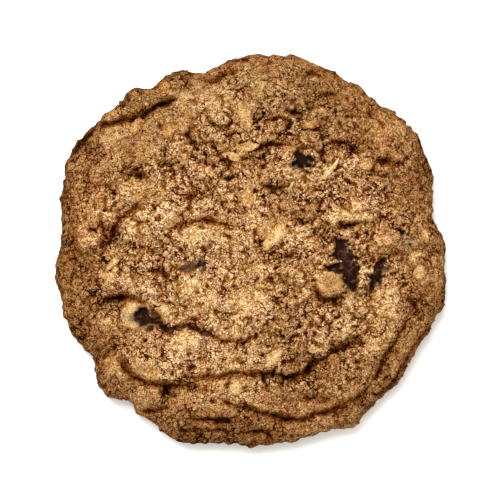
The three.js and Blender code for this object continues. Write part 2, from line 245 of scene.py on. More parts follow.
FOLDS = (
    Fold(1.7, 0.8, ((-34.3, 28.1), (-29.7, 29.5), (-25.1, 30.2), (-21.0, 32.7), (-16.0, 34.5)), 0.7),
    Fold(0.9, 0.8, ((-11.4, 38.1), (-8.0, 39.1), (-2.3, 41.1))),
    Fold(0.7, 0.7, ((11.4, 40.4), (16.0, 40.0), (18.3, 39.1))),
    Fold(1.2, 0.65, ((-33.0, 0.6), (-31.2, 3.6), (-29.6, 6.6), (-26.6, 9.2), (-22.8, 10.4)), 0.65),
    Fold(0.8, 0.6, ((-28.6, 7.6), (-25.6, 6.6), (-25.2, 4.0), (-25.4, 1.4)), 0.5),
    Fold(1.3, 0.9, ((-20.0, 4.6), (-15.0, 5.7), (-11.0, 6.6), (-8.0, 6.2), (-4.0, 5.4)), 0.7),
    Fold(1.1, 0.8, ((-16.0, 11.2), (-12.8, 12.2), (-10.2, 12.4)), 0.7),
    Fold(1.0, 0.7, ((-21.4, 19.8), (-19.6, 19.5), (-17.4, 19.3), (-14.4, 20.1)), 0.6),
    Fold(0.8, 0.7, ((-28.6, 17.2), (-25.8, 16.4), (-23.0, 17.6))),
    Fold(0.8, 0.7, ((-37.0, 13.8), (-34.0, 14.2), (-31.2, 14.4))),
    Fold(0.7, 0.6, ((-14.4, 31.2), (-13.4, 29.4), (-13.8, 26.0), (-12.8, 23.4))),
    Fold(0.8, 0.6, ((-9.4, 31.6), (-9.3, 29.2), (-5.6, 28.0), (-3.4, 29.4))),
    Fold(1.0, 0.7, ((-8.2, 22.8), (-5.5, 20.1), (-2.3, 20.6), (1.2, 20.2)), 0.6),
    Fold(0.6, 0.5, ((-6.2, 19.4), (-3.9, 18.3), (-2.3, 18.3))),
    Fold(1.3, 0.8, ((0.0, 22.2), (3.0, 23.7), (7.0, 23.9), (11.6, 22.8)), 0.7),
    Fold(1.0, 0.9, ((7.6, 31.4), (10.0, 31.2), (12.6, 30.8)), 0.4),
    Fold(0.8, 0.6, ((0.0, 29.7), (3.0, 29.6), (6.0, 29.4))),
    Fold(0.7, 0.5, ((2.3, 27.0), (4.6, 26.3), (6.6, 26.3))),
    Fold(1.2, 0.7, ((13.0, 27.2), (15.4, 27.7), (17.6, 28.2)), 0.6),
    Fold(0.8, 0.45, ((17.0, 24.0), (20.0, 24.4), (22.4, 23.4), (25.1, 20.9)), 0.55),
    Fold(0.9, 0.6, ((25.5, 20.2), (25.4, 17.4)), 0.6),
    Fold(1.1, 0.9, ((28.4, 20.8), (31.0, 20.0), (35.4, 19.3)), 0.6),
    Fold(0.6, 0.5, ((16.4, 35.4), (19.9, 35.4))),
    Fold(1.0, 0.8, ((2.4, 15.2), (5.0, 13.6), (8.0, 14.4)), 0.6),
    Fold(0.9, 0.6, ((1.5, 0.3), (3.4, 3.2), (5.2, 6.2)), 0.7),
    Fold(0.8, 0.7, ((7.8, 10.2), (7.6, 7.6))),
    Fold(0.8, 0.7, ((10.2, 8.4), (12.2, 6.2), (13.4, 7.4))),
    Fold(1.2, 0.7, ((16.0, 4.6), (19.4, 5.0), (23.0, 5.6), (28.4, 6.8)), 0.5),
    Fold(0.6, 0.5, ((20.6, 8.7), (22.4, 9.4))),
    Fold(0.9, 0.6, ((-34.0, 7.4), (-33.2, 4.0), (-34.2, 0.6)), 0.6),
    Fold(0.7, 0.6, ((-39.0, 6.8), (-39.6, 3.4), (-38.8, 0.4)), 0.45),
    Fold(0.8, 0.6, ((-8.5, 1.6), (-9.6, 0.0), (-10.5, -1.6))),
    Fold(1.0, 0.8, ((-16.4, -4.6), (-14.4, -4.4), (-11.4, -2.4)), 0.6),
    Fold(0.8, 0.7, ((-22.8, -5.6), (-20.2, -5.0), (-18.6, -7.2)), 0.5),
    Fold(1.2, 0.7, ((-34.0, -11.8), (-30.6, -10.6), (-26.4, -11.4), (-22.8, -12.8)), 0.7),
    Fold(1.4, 0.6, ((-22.4, -13.2), (-21.2, -15.0), (-19.0, -18.2), (-16.6, -18.1)), 1.0),
    Fold(1.3, 0.5, ((-16.6, -18.1), (-14.6, -17.2), (-11.4, -18.1), (-9.4, -19.0), (-5.9, -21.0)), 1.0),
    Fold(1.0, 0.6, ((-5.9, -21.0), (-1.6, -20.8), (2.3, -19.0)), 0.6),
    Fold(0.7, 0.5, ((-9.1, -13.7), (-5.0, -15.3))),
    Fold(1.1, 0.8, ((-29.7, -24.2), (-27.0, -28.3), (-22.8, -30.2), (-14.8, -31.0), (-10.3, -31.4)),
         0.8, step=0.9),
    Fold(1.0, 0.8, ((-16.6, -29.4), (-9.0, -28.8), (-5.0, -28.4), (-0.6, -27.9)), 0.8, step=0.7),
    Fold(1.1, 0.8, ((-1.7, -27.8), (5.7, -28.3), (10.3, -28.8), (16.0, -25.0), (25.6, -19.6)),
         0.8, step=1.0),
    Fold(0.9, 0.7, ((-25.1, -36.1), (-21.7, -36.5), (-18.3, -35.9))),
    Fold(1.0, 0.7, ((-6.4, -34.3), (1.1, -36.3), (9.6, -38.6), (17.1, -36.6), (22.8, -34.4)),
         0.75, step=1.0),
    Fold(0.8, 0.55, ((22.8, -34.4), (27.6, -30.2), (31.2, -23.4), (36.0, -15.0)), 0.35, step=0.8),
    Fold(1.2, 0.8, ((-14.2, -38.4), (-10.3, -38.3), (-5.7, -38.9), (-3.4, -39.5)), 0.6),
    Fold(1.1, 0.7, ((-2.3, -41.6), (2.7, -41.3), (5.7, -43.4))),
    Fold(1.4, 0.6, ((14.8, -8.4), (15.6, -10.4), (17.6, -11.6), (20.6, -11.2)), 0.9),
    Fold(0.5, 0.6, ((27.3, -12.4), (28.6, -14.8), (31.0, -15.8), (33.2, -15.2)), 0.3),
    Fold(0.7, 0.6, ((12.4, -16.6), (14.4, -17.0), (17.0, -17.8))),
    Fold(0.8, 0.7, ((12.2, -33.4), (16.0, -33.8), (20.0, -34.6))),
    Fold(0.7, 0.6, ((34.6, -11.2), (36.6, -12.4), (38.6, -14.4))),
    Fold(0.8, 0.45, ((29.2, -33.1), (33.3, -29.0), (36.2, -23.7), (39.1, -19.6), (40.9, -17.3)),
         0.6, step=0.3),
    Fold(0.6, 0.45, ((-16.9, -41.0), (-9.8, -40.7), (-2.8, -41.6)), 0.35, step=0.3),
    Fold(0.7, 0.45, ((-41.5, 20.5), (-38.6, 24.6), (-35.2, 28.0)), 0.6),
)

SPOTS = (
    Spot(36.2, 1.4, 1.9, -0.22), Spot(2.0, 31.0, 8.0, 0.18), Spot(-38.0, -6.0, 7.0, 0.16),
    Spot(9.0, -22.0, 6.5, 0.2), Spot(0.0, 6.0, 4.0, -0.12), Spot(8.0, 7.0, 2.4, 0.12),
    Spot(8.0, 0.5, 3.0, -0.08), Spot(23.0, -38.5, 3.0, -0.12), Spot(-8.0, -40.5, 3.0, -0.1),
    Spot(-39.5, -16.0, 3.0, -0.1), Spot(40.0, 8.0, 3.0, -0.08), Spot(-12.0, 0.0, 6.0, -0.14),
    Spot(-32.0, 8.0, 3.5, -0.12), Spot(-13.4, -22.4, 5.6, -0.2), Spot(24.0, -18.0, 6.0, -0.16),
    Spot(-3.0, -32.0, 5.0, -0.18), Spot(-27.0, -31.0, 6.0, -0.16), Spot(32.0, -32.0, 5.0, -0.16),
    Spot(-5.0, -42.5, 4.0, 0.14), Spot(15.6, -39.8, 4.8, -0.42), Spot(18.2, -7.8, 1.8, 0.46),
    Spot(-19.5, -13.5, 1.4, -0.25), Spot(-22.0, -9.0, 1.1, -0.3), Spot(-30.5, -26.5, 1.2, -0.3),
    Spot(-28.5, -28.8, 1.2, -0.25), Spot(-38.8, -17.6, 2.0, 0.2), Spot(-32.4, -16.6, 1.8, -0.25),
    Spot(15.0, -20.0, 4.0, -0.1), Spot(28.6, -31.6, 1.8, -0.15), Spot(26.2, -5.4, 1.3, -0.4),
    Spot(24.0, 8.6, 3.4, -0.18), Spot(32.0, -15.0, 4.5, -0.2), Spot(-13.4, -8.6, 3.0, -0.12),
    Spot(-27.5, 3.4, 1.6, -0.3), Spot(-18.0, 7.4, 3.6, -0.18), Spot(0.0, -15.0, 3.6, -0.26),
    Spot(2.5, -19.5, 1.6, -0.25), Spot(11.4, 1.4, 2.0, -0.2), Spot(3.4, -4.5, 1.5, -0.25),
    Spot(13.6, -9.8, 1.8, -0.2), Spot(8.9, -3.2, 3.0, 0.12), Spot(37.5, -21.0, 3.5, -0.15),
    Spot(43.5, -4.5, 2.5, -0.25), Spot(-10.0, 34.0, 3.0, -0.12), Spot(-16.0, 40.0, 3.0, 0.12),
    Spot(-31.0, 26.0, 2.5, -0.1), Spot(-32.0, 31.0, 4.5, -0.2), Spot(-23.0, 27.0, 6.0, 0.13),
    Spot(-8.0, 24.0, 3.5, 0.1), Spot(-27.0, 33.6, 2.6, 0.18), Spot(-34.5, 29.5, 2.0, 0.2),
    Spot(16.0, 32.5, 4.0, 0.22), Spot(16.5, 24.5, 4.5, 0.2), Spot(-8.0, 32.0, 3.6, -0.16),
    Spot(-33.0, 12.0, 4.0, -0.14), Spot(-6.0, -4.0, 5.0, -0.08), Spot(-24.0, -23.5, 3.5, -0.14),
    Spot(-27.0, -36.0, 4.0, -0.14), Spot(-8.0, -13.0, 5.0, -0.1), Spot(-14.6, -34.6, 5.0, -0.2),
    Spot(34.0, 17.0, 2.2, -0.12), Spot(-35.6, 4.4, 0.8, 0.7), Spot(-37.2, 3.4, 2.4, -0.18),
    Spot(16.5, 9.0, 2.4, 0.28), Spot(18.4, 2.4, 2.0, 0.3), Spot(13.6, -7.5, 3.0, -0.2),
    Spot(6.2, 13.6, 2.0, 0.35), Spot(10.5, 31.2, 3.0, 0.12), Spot(22.6, 23.2, 1.4, 0.15),
    Spot(8.2, 17.4, 1.8, -0.2), Spot(19.2, 7.2, 1.9, -0.2), Spot(2.0, 21.0, 2.0, 0.25),
    Spot(2.5, 29.4, 1.8, 0.2), Spot(-23.8, 17.0, 1.8, 0.25), Spot(-28.2, 17.8, 1.4, 0.2),
    Spot(-19.6, 20.4, 1.4, 0.18), Spot(-14.6, -4.4, 2.0, 0.4), Spot(-18.6, -6.4, 1.2, 0.3),
    Spot(-29.6, -11.0, 1.4, 0.3), Spot(-31.0, 4.0, 1.8, 0.25), Spot(12.5, -25.2, 1.8, 0.3),
    Spot(3.5, -25.8, 2.2, 0.15), Spot(19.5, -22.4, 1.8, 0.25), Spot(29.0, -26.8, 1.6, 0.2),
    Spot(11.0, -33.6, 3.2, 0.2), Spot(-13.5, -39.5, 3.4, 0.22), Spot(-19.0, -32.4, 1.3, 0.5),
    Spot(-13.3, -26.8, 0.9, 0.35), Spot(37.5, -12.6, 2.4, 0.25), Spot(27.2, -10.4, 1.8, 0.25),
    Spot(-37.5, 24.0, 3.5, 0.22), Spot(-41.0, 12.0, 4.0, 0.12), Spot(-31.5, -22.5, 2.2, 0.2),
    Spot(32.0, 0.0, 3.5, 0.12), Spot(27.6, 31.0, 0.9, 0.25), Spot(33.0, 20.0, 5.0, 0.1),
    Spot(28.0, 13.5, 3.2, 0.1), Spot(4.0, 40.0, 6.0, -0.1),
)

CHIPS = (
    Chip(
        1, 7.2, 5.6, -15,
        (((-24.4, -15.1, 1.0), (-23.4, -15.4, 1.0)), ((-22.6, -15.8, 0.6), (-21.2, -16.8, 0.3))),
        ((-24.0, -15.4, 2.6, 1.0), (-27.8, -14.6, 1.8, 0.0)),
        ragged=0.3,
        grey=0.55,
    ),
    Chip(
        2, 5.6, 4.2, -20,
        (((-21.4, -16.4, 0.3), (-20.2, -17.4, 0.35), (-18.0, -18.2, 0.5), (-15.8, -17.6, 0.25)),),
    ),
    Chip(
        3, 5.4, 5.0, -35,
        (((-14.4, -17.2, 0.2), (-12.2, -17.8, 0.25), (-10.6, -18.5, 0.4), (-9.9, -19.4, 0.3)),),
        ((-10.2, -20.8, 1.6, 0.45),),
    ),
    Chip(
        4, 5.4, 4.6, 10,
        (((-11.8, -3.2, 0.3), (-10.6, -3.5, 0.6)),),
        ((-11.6, -3.2, 1.5, 0.7), (-14.2, -4.0, 1.6, 0.5)),
    ),
    Chip(
        5, 9.4, 5.8, 100,
        (
            ((20.7, 1.3, 1.4), (21.1, -0.5, 1.9), (22.4, -3.2, 1.4), (22.4, -5.6, 1.9), (23.5, -7.8, 0.6)),
            ((17.2, -3.3, 0.3), (18.8, -3.9, 0.55), (20.8, -5.2, 0.8)),
        ),
        ((23.0, -7.6, 1.6, 0.6),),
    ),
    Chip(
        6, 6.4, 5.0, 80,
        (((29.6, -2.8, 0.6), (29.2, -4.4, 0.8), (28.8, -6.2, 1.1), (27.6, -8.0, 0.4), (27.4, -9.6, 0.2)),),
        ((30.2, -5.0, 1.5, 0.6),),
    ),
    Chip(
        7, 6.8, 5.0, -10,
        (((10.4, 19.6, 0.7), (12.1, 20.2, 1.2), (13.6, 20.6, 0.8)), ((12.4, 19.9, 0.8), (13.4, 19.4, 0.4))),
        ((10.8, 18.6, 1.4, 0.4),),
        gloom=1.0,
        ragged=0.6,
    ),
    Chip(
        8, 5.6, 5.2, 0,
        (((34.0, 4.2, 0.4), (34.7, 3.9, 0.5)),),
        ((36.0, 1.8, 2.2, 0.16),),
        grey=1.0,
    ),
)

FLAKES = (
    Flake(-1.1, 30.6, 7.2, 3.2, 100, 0.28), Flake(5.7, 3.0, 7.8, 3.0, 55, 0.05),
    Flake(3.5, 4.8, 6.0, 3.4, 60, 0.4), Flake(17.8, 17.6, 6.6, 1.1, 46, -0.15, curve=1.0),
    Flake(0.0, 23.5, 4.4, 2.4, 5, 0.2), Flake(-4.1, 21.2, 4.6, 1.8, -10, 0.2),
    Flake(-19.4, 37.2, 4.2, 2.8, 80, 0.55), Flake(-25.8, 27.9, 5.4, 2.6, 50, 0.42),
    Flake(-18.3, 27.4, 4.6, 3.8, 20, 0.42), Flake(26.3, 19.2, 3.4, 2.8, 20, 0.35),
    Flake(16.4, 31.3, 2.6, 1.8, -30, 0.25), Flake(-0.5, 11.6, 4.4, 3.4, 110, 0.3),
    Flake(0.9, 11.3, 3.6, 0.8, 80, -0.15, curve=-0.8), Flake(9.4, 14.2, 3.2, 0.6, 62, -0.05),
    Flake(-3.2, -31.5, 3.4, 3.2, 0, 0.05), Flake(5.3, -24.7, 5.8, 2.8, 42, 0.1),
    Flake(-2.7, -19.6, 2.0, 1.2, 30, 0.0), Flake(5.9, -31.8, 2.4, 2.2, 0, 0.45),
    Flake(14.4, -22.6, 2.8, 2.0, 20, 0.15), Flake(19.2, -24.9, 3.0, 2.6, 30, 0.48),
    Flake(22.4, -40.0, 3.8, 1.8, 10, 0.1), Flake(34.9, -26.0, 3.4, 1.8, 40, 0.1),
    Flake(40.0, 3.2, 4.0, 1.8, 110, 0.2), Flake(42.0, 4.1, 4.2, 3.0, 100, 0.2),
    Flake(42.6, -5.3, 5.4, 2.4, 100, 0.25), Flake(38.4, -5.3, 3.6, 3.0, 60, 0.2),
    Flake(37.7, -1.6, 3.6, 2.4, 20, 0.25), Flake(32.0, -9.6, 4.2, 1.6, 28, 0.1),
    Flake(-31.3, -3.4, 3.8, 1.8, 45, 0.2), Flake(13.7, 28.4, 5.0, 1.8, 10, 0.42),
    Flake(-17.8, 6.4, 4.2, 3.0, 30, 0.3), Flake(-25.1, 12.1, 4.0, 2.4, 20, 0.35),
    Flake(-30.6, -26.3, 4.2, 2.0, -55, 0.35),
)


def bell(distance: Floats, reach: float) -> Floats:
    """Bell curve: 1 in the middle, falling away over the reach."""
    return np.exp(-0.5 * (distance / reach) ** 2)


def ease(values: Floats, start: float, end: float) -> Floats:
    """Smooth rise from 0 at the start to 1 at the end."""
    share = np.clip((values - start) / (end - start), 0, 1)
    return share * share * (3 - 2 * share)


@dataclass(frozen=True)
class Rise:
    """A smooth change by some amount from a base, as values go from a start to an end."""

    start: float
    end: float
    amount: float = 1.0
    base: float = 0.0

    def at(self, values: Floats) -> Floats:
        """Base with the share of the change that each value brings."""
        return self.base + self.amount * ease(values, self.start, self.end)


def smooth_run(run: Places, samples: int) -> Floats:
    """Points along a smooth curve.

    Args:
        run: The places that the curve goes through.
        samples: How many points to make between each place and the next.

    Returns:
        One row of x and y for each point.
    """
    knots = np.array((run[0], *run, run[-1]), dtype=float)
    along = np.linspace(0, 1, samples)[:, None]
    rows = []
    for first, second, third, fourth in zip(knots, knots[1:], knots[2:], knots[3:]):
        rows.append(
            second
            + 0.5 * along * (third - first)
            + along**2 * (first - 2.5 * second + 2 * third - 0.5 * fourth)
            + along**3 * (1.5 * (second - third) + 0.5 * (fourth - first))
        )
    return np.concatenate(rows)


def across_frames(normals: Floats, spins: Floats) -> Floats:
    """Turns things to lie on the crust.

    Args:
        normals: The way that each thing faces.
        spins: How far each thing is turned about that way, in radians.

    Returns:
        One 3 by 3 matrix for each thing, its columns the thing's length, width and height.
    """
    aside = np.where(np.abs(normals[:, :1]) < 0.9, (1.0, 0.0, 0.0), (0.0, 1.0, 0.0))
    level = aside - normals * np.einsum("ij,ij->i", aside, normals)[:, None]
    level /= np.linalg.norm(level, axis=1)[:, None]
    square = np.cross(normals, level)
    cos, sin = np.cos(spins)[:, None], np.sin(spins)[:, None]
    return np.stack((level * cos + square * sin, square * cos - level * sin, normals), axis=-1)


def ball(splits: int) -> tuple[Floats, Floats]:
    """Makes an even ball of radius 1.

    Args:
        splits: How finely it is divided.

    Returns:
        Its points and triangles.
    """
    builder = bmesh.new()
    bmesh.ops.create_icosphere(builder, subdivisions=splits, radius=1)
    points = np.array([vertex.co[:] for vertex in builder.verts])
    triangles = np.array([[vertex.index for vertex in face.verts] for face in builder.faces])
    builder.free()
    return points, triangles


def grain(facets: Facets) -> tuple[Floats, Floats]:
    """Makes a solid with equal sides.

    Args:
        facets: How many sides it has.

    Returns:
        Its points and triangles.
    """
    if facets is Facets.MANY:
        return ball(1)
    points = np.array(((1, 0, 0), (0, 1, 0), (-1, 0, 0), (0, -1, 0), (0, 0, 1), (0, 0, -1)), dtype=float)
    around = np.array(((0, 1), (1, 2), (2, 3), (3, 0)))
    above = np.column_stack((around, np.full(4, 4)))
    below = np.column_stack((around[:, ::-1], np.full(4, 5)))
    return points, np.concatenate((above, below))


@dataclass
class Shape:
    """Points in millimetres, faces and point layers of one mesh, with an optional bake chart."""

    points: Floats
    faces: list[Floats]
    layers: dict[Layer, Floats]
    chart: list[Floats] = field(default_factory=list)

    def piece(self, name: str, material: Material, smooth: bool = True) -> bpy.types.Object:
        """Makes a mesh object that rides with the cookie.

        Args:
            name: Name of the object.
            material: Its finish.
            smooth: Whether its faces are shaded as one rounded surface.

        Returns:
            The new object.
        """
        mesh = bpy.data.meshes.new(name)
        corners = np.concatenate([faces.ravel() for faces in self.faces]).astype(np.int32)
        sides = np.concatenate([np.full(len(faces), faces.shape[1]) for faces in self.faces])
        starts = np.concatenate(((0,), np.cumsum(sides)[:-1])).astype(np.int32)
        mesh.vertices.add(len(self.points))
        mesh.vertices.foreach_set("co", (self.points * MILLIMETRE).astype(np.float32).ravel())
        mesh.loops.add(len(corners))
        mesh.loops.foreach_set("vertex_index", corners)
        mesh.polygons.add(len(starts))
        mesh.polygons.foreach_set("loop_start", starts)
        mesh.polygons.foreach_set("use_smooth", np.full(len(starts), smooth))
        mesh.update(calc_edges=True)
        for layer, values in self.layers.items():
            attribute = mesh.attributes.new(layer.value, "FLOAT", "POINT")
            attribute.data.foreach_set("value", values.astype(np.float32))
        if self.chart:
            places = np.concatenate([chart.reshape(-1, 2) for chart in self.chart])
            chart_layer = mesh.uv_layers.new(name=BAKE_MAP)
            chart_layer.data.foreach_set("uv", places.astype(np.float32).ravel())
        mesh.materials.append(material)
        made = bpy.data.objects.new(name, mesh)
        bpy.context.scene.collection.objects.link(made)
        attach(made, BODY)
        LOG.info("%s: %d points, %d faces", name, len(self.points), len(starts))
        return made


class Roughness:
    """Repeatable random relief, worked out from points in millimetres."""

    TABLE = 256
    WAVE_GAIN = 1.7
    WAYS = (0, 90, 170)

    def __init__(self, seed: int) -> None:
        """Draws the slopes and spots that the relief is made of.

        Args:
            seed: Start of the random draws.
        """
        random = np.random.default_rng(seed)
        self.order = random.permutation(self.TABLE)
        slopes = random.normal(size=(self.TABLE, 3))
        self.slopes = slopes / np.linalg.norm(slopes, axis=1)[:, None]
        self.spots = random.random((self.TABLE, 3))

    def pick(self, cells: Floats) -> Floats:
        """Table row of each whole-number cell."""
        x, y, z = (cells % self.TABLE).T
        return self.order[(self.order[(self.order[x] + y) % self.TABLE] + z) % self.TABLE]

    def waves(self, points: Floats, length: float) -> Floats:
        """Smooth waves, mostly between -1 and 1.

        Args:
            points: One row of x, y and z for each point.
            length: Distance from one wave to the next.

        Returns:
            One height for each point.
        """
        scaled = points / length
        cells = np.floor(scaled).astype(int)
        part = scaled - cells
        blend = part**3 * (part * (part * 6 - 15) + 10)
        total = np.zeros(len(points))
        for corner in itertools.product((0, 1), repeat=3):
            slope = self.slopes[self.pick(cells + corner)]
            weight = np.prod(np.where(corner, blend, 1 - blend), axis=1)
            total += weight * np.einsum("ij,ij->i", slope, part - corner)
        return total * self.WAVE_GAIN

    def ripples(self, points: Floats, *layers: Ripple) -> Floats:
        """Height of some kinds of waves, one on another."""
        return sum(layer.height * self.waves(points + layer.shift, layer.length) for layer in layers)

    def jumble(self, points: Floats, *layers: Ripple) -> Floats:
        """Random shifts along all three ways, by some kinds of waves."""
        return np.column_stack([self.ripples(points + way, *layers) for way in self.WAYS])

    def clumps(self, points: Floats, size: float) -> tuple[Floats, Floats, Floats]:
        """Irregular cells, like grains that lie side by side.

        Args:
            points: One row of x, y and z for each point.
            size: Distance from one grain to the next.

        Returns:
            Distance to the nearest grain's middle, how much further the next one is, both as shares
            of the size, and a random number from 0 to 1 for the grain.
        """
        scaled = points / size
        cells = np.floor(scaled).astype(int)
        first, second = np.full((2, len(points)), np.inf)
        owner = np.zeros(len(points), dtype=int)
        for corner in itertools.product((-1, 0, 1), repeat=3):
            near = cells + corner
            row = self.pick(near)
            gap = np.linalg.norm(near + self.spots[row] - scaled, axis=1)
            closer = gap < first
            second = np.where(closer, first, np.minimum(second, gap))
            owner = np.where(closer, row, owner)
            first = np.minimum(first, gap)
        return first, second - first, owner / self.TABLE


@dataclass(frozen=True)
class Grid:
    """The square grid of points that the crust is drawn on."""

    cells: int = 300

    @property
    def side(self) -> int:
        """Points along one side."""
        return self.cells + 1

    def disc(self) -> tuple[Floats, Floats]:
        """The grid drawn round.

        Returns:
            Share of the way out, and bearing in radians, of each point.
        """
        steps = np.linspace(-1, 1, self.side)
        across, along = (part.ravel() for part in np.meshgrid(steps, steps))
        wide = np.abs(across) >= np.abs(along)
        signed = np.where(wide, across, along)
        divisor = np.where(signed == 0, 1, signed)
        turn = np.where(wide, along / divisor, 2 - across / divisor) * np.pi / 4
        return np.abs(signed), turn + np.where(signed < 0, np.pi, 0)

    def soften(self, values: Floats, reach: int) -> Floats:
        """Evens values out along both ways of the grid.

        Args:
            values: One value for each point.
            reach: How many cells to each side are averaged.

        Returns:
            The averages.
        """
        grid = values.reshape(self.side, self.side)
        width = 2 * reach + 1
        for _ in range(2):
            padded = np.pad(grid, ((reach + 1, reach), (0, 0)), mode="edge")
            total = np.cumsum(padded, axis=0)
            grid = ((total[width:] - total[:-width]) / width).T
        return grid.ravel()

    def normals(self, points: Floats) -> Floats:
        """Works out which way the skin faces.

        Args:
            points: Where the grid's points are.

        Returns:
            Outward direction at each point.
        """
        grid = points.reshape(self.side, self.side, 3)
        cross = np.cross(np.gradient(grid, axis=1), np.gradient(grid, axis=0)).reshape(-1, 3)
        return cross / np.maximum(np.linalg.norm(cross, axis=1), 1e-9)[:, None]

    def faces(self) -> tuple[Floats, Floats]:
        """Numbers the grid's points.

        Returns:
            Four-sided faces between the points, and the run of points round the rim.
        """
        index = np.arange(self.side**2).reshape(self.side, self.side)
        quads = np.stack((index[:-1, :-1], index[:-1, 1:], index[1:, 1:], index[1:, :-1]), axis=-1)
        rim = np.concatenate((index[0, :-1], index[:-1, -1], index[-1, :0:-1], index[:0:-1, 0]))
        return quads.reshape(-1, 4), rim


@dataclass(frozen=True)
class Skin:
    """The crust before its relief, with one row for each point of the grid.

    It has each point's place, the way it faces, its share of the way out, how far it belongs to the top,
    and random shifts that keep the forms on it from being even.
    """

    place: Floats
    facing: Floats
    reach: Floats
    topside: Floats
    bend: Floats


@dataclass(frozen=True)
class Outline:
    """The cookie's rounded section, drawn round its uneven edge."""

    mean_radius: float = 45.0
    centre_height: float = 12.2
    waist_height: float = 2.2
    tuck_depth: float = 4.5
    roundness: float = 2.8
    samples: int = 6001
    edge_grip: float = 3.0
    ragged_grip: float = 16.0
    ragged_edge: tuple[Ripple, ...] = (Ripple(0.5, 6.5), Ripple(0.4, 2.6, 40), Ripple(0.35, 1.3, 80))
    bends: tuple[Ripple, ...] = (Ripple(0.8, 3.2), Ripple(0.45, 1.3, 50))
    topside: Rise = Rise(3.0, 6.5)

    def section(self) -> tuple[Floats, Floats, Floats]:
        """Rounded-square cross section from the middle of the top to the foot.

        Returns:
            Share of the length, distance from the middle, and height.
        """
        lean = np.linspace(0, np.pi, self.samples)
        outward = self.mean_radius * np.abs(np.sin(lean)) ** (2 / self.roundness)
        upward = np.abs(np.cos(lean)) ** (2 / self.roundness)
        rise = np.where(lean < np.pi / 2, self.centre_height - self.waist_height, -self.tuck_depth)
        height = self.waist_height + rise * upward
        shown = height >= 0
        outward, height = outward[shown], height[shown]
        height[-1] = 0
        length = np.concatenate(((0,), np.cumsum(np.hypot(np.diff(outward), np.diff(height)))))
        return length / length[-1], outward, height

    def edge(self, bearing: Floats) -> Floats:
        """Adds the bulges and notches to the edge.

        Args:
            bearing: Bearings in radians.

        Returns:
            Radius of the edge at each bearing.
        """
        degrees = np.degrees(bearing)
        radius = np.full(len(bearing), self.mean_radius)
        for wave in EDGE_WAVES:
            apart = (degrees - wave.bearing + 180) % 360 - 180
            radius += wave.rise * bell(apart, wave.spread)
        return radius

    def skin(self, grid: Grid, rough: Roughness) -> Skin:
        """Lays the grid over the section.

        Args:
            grid: The points to lay.
            rough: Where the unevenness comes from.

        Returns:
            The crust before its relief.
        """
        share, bearing = grid.disc()
        length, outward, height = self.section()
        radius, level, lean_out, lean_up = (
            np.interp(share, length, values)
            for values in (outward, height, -np.gradient(height, length), np.gradient(outward, length))
        )
        reach = radius / self.mean_radius
        around = np.column_stack((np.cos(bearing), np.sin(bearing)))
        rim = self.mean_radius * np.column_stack((around, np.zeros(len(share))))
        stretch = 1 + (self.edge(bearing) / self.mean_radius - 1) * reach**self.edge_grip
        stretch += rough.ripples(rim, *self.ragged_edge) / self.mean_radius * reach**self.ragged_grip
        place = np.column_stack((around * (radius * stretch)[:, None], level))
        facing = np.column_stack((around * lean_out[:, None], lean_up))
        facing /= np.hypot(lean_out, lean_up)[:, None]
        return Skin(place, facing, reach, self.topside.at(level), rough.jumble(place, *self.bends))


@dataclass(frozen=True)
class Forms:
    """What the lumps, spots and folds do to each point of the grid, with the painted shade along the folds
    and the painted tone of the spots.
    """

    relief: Floats
    crease_shading: Floats
    spot_tone: Floats
    bare: Floats


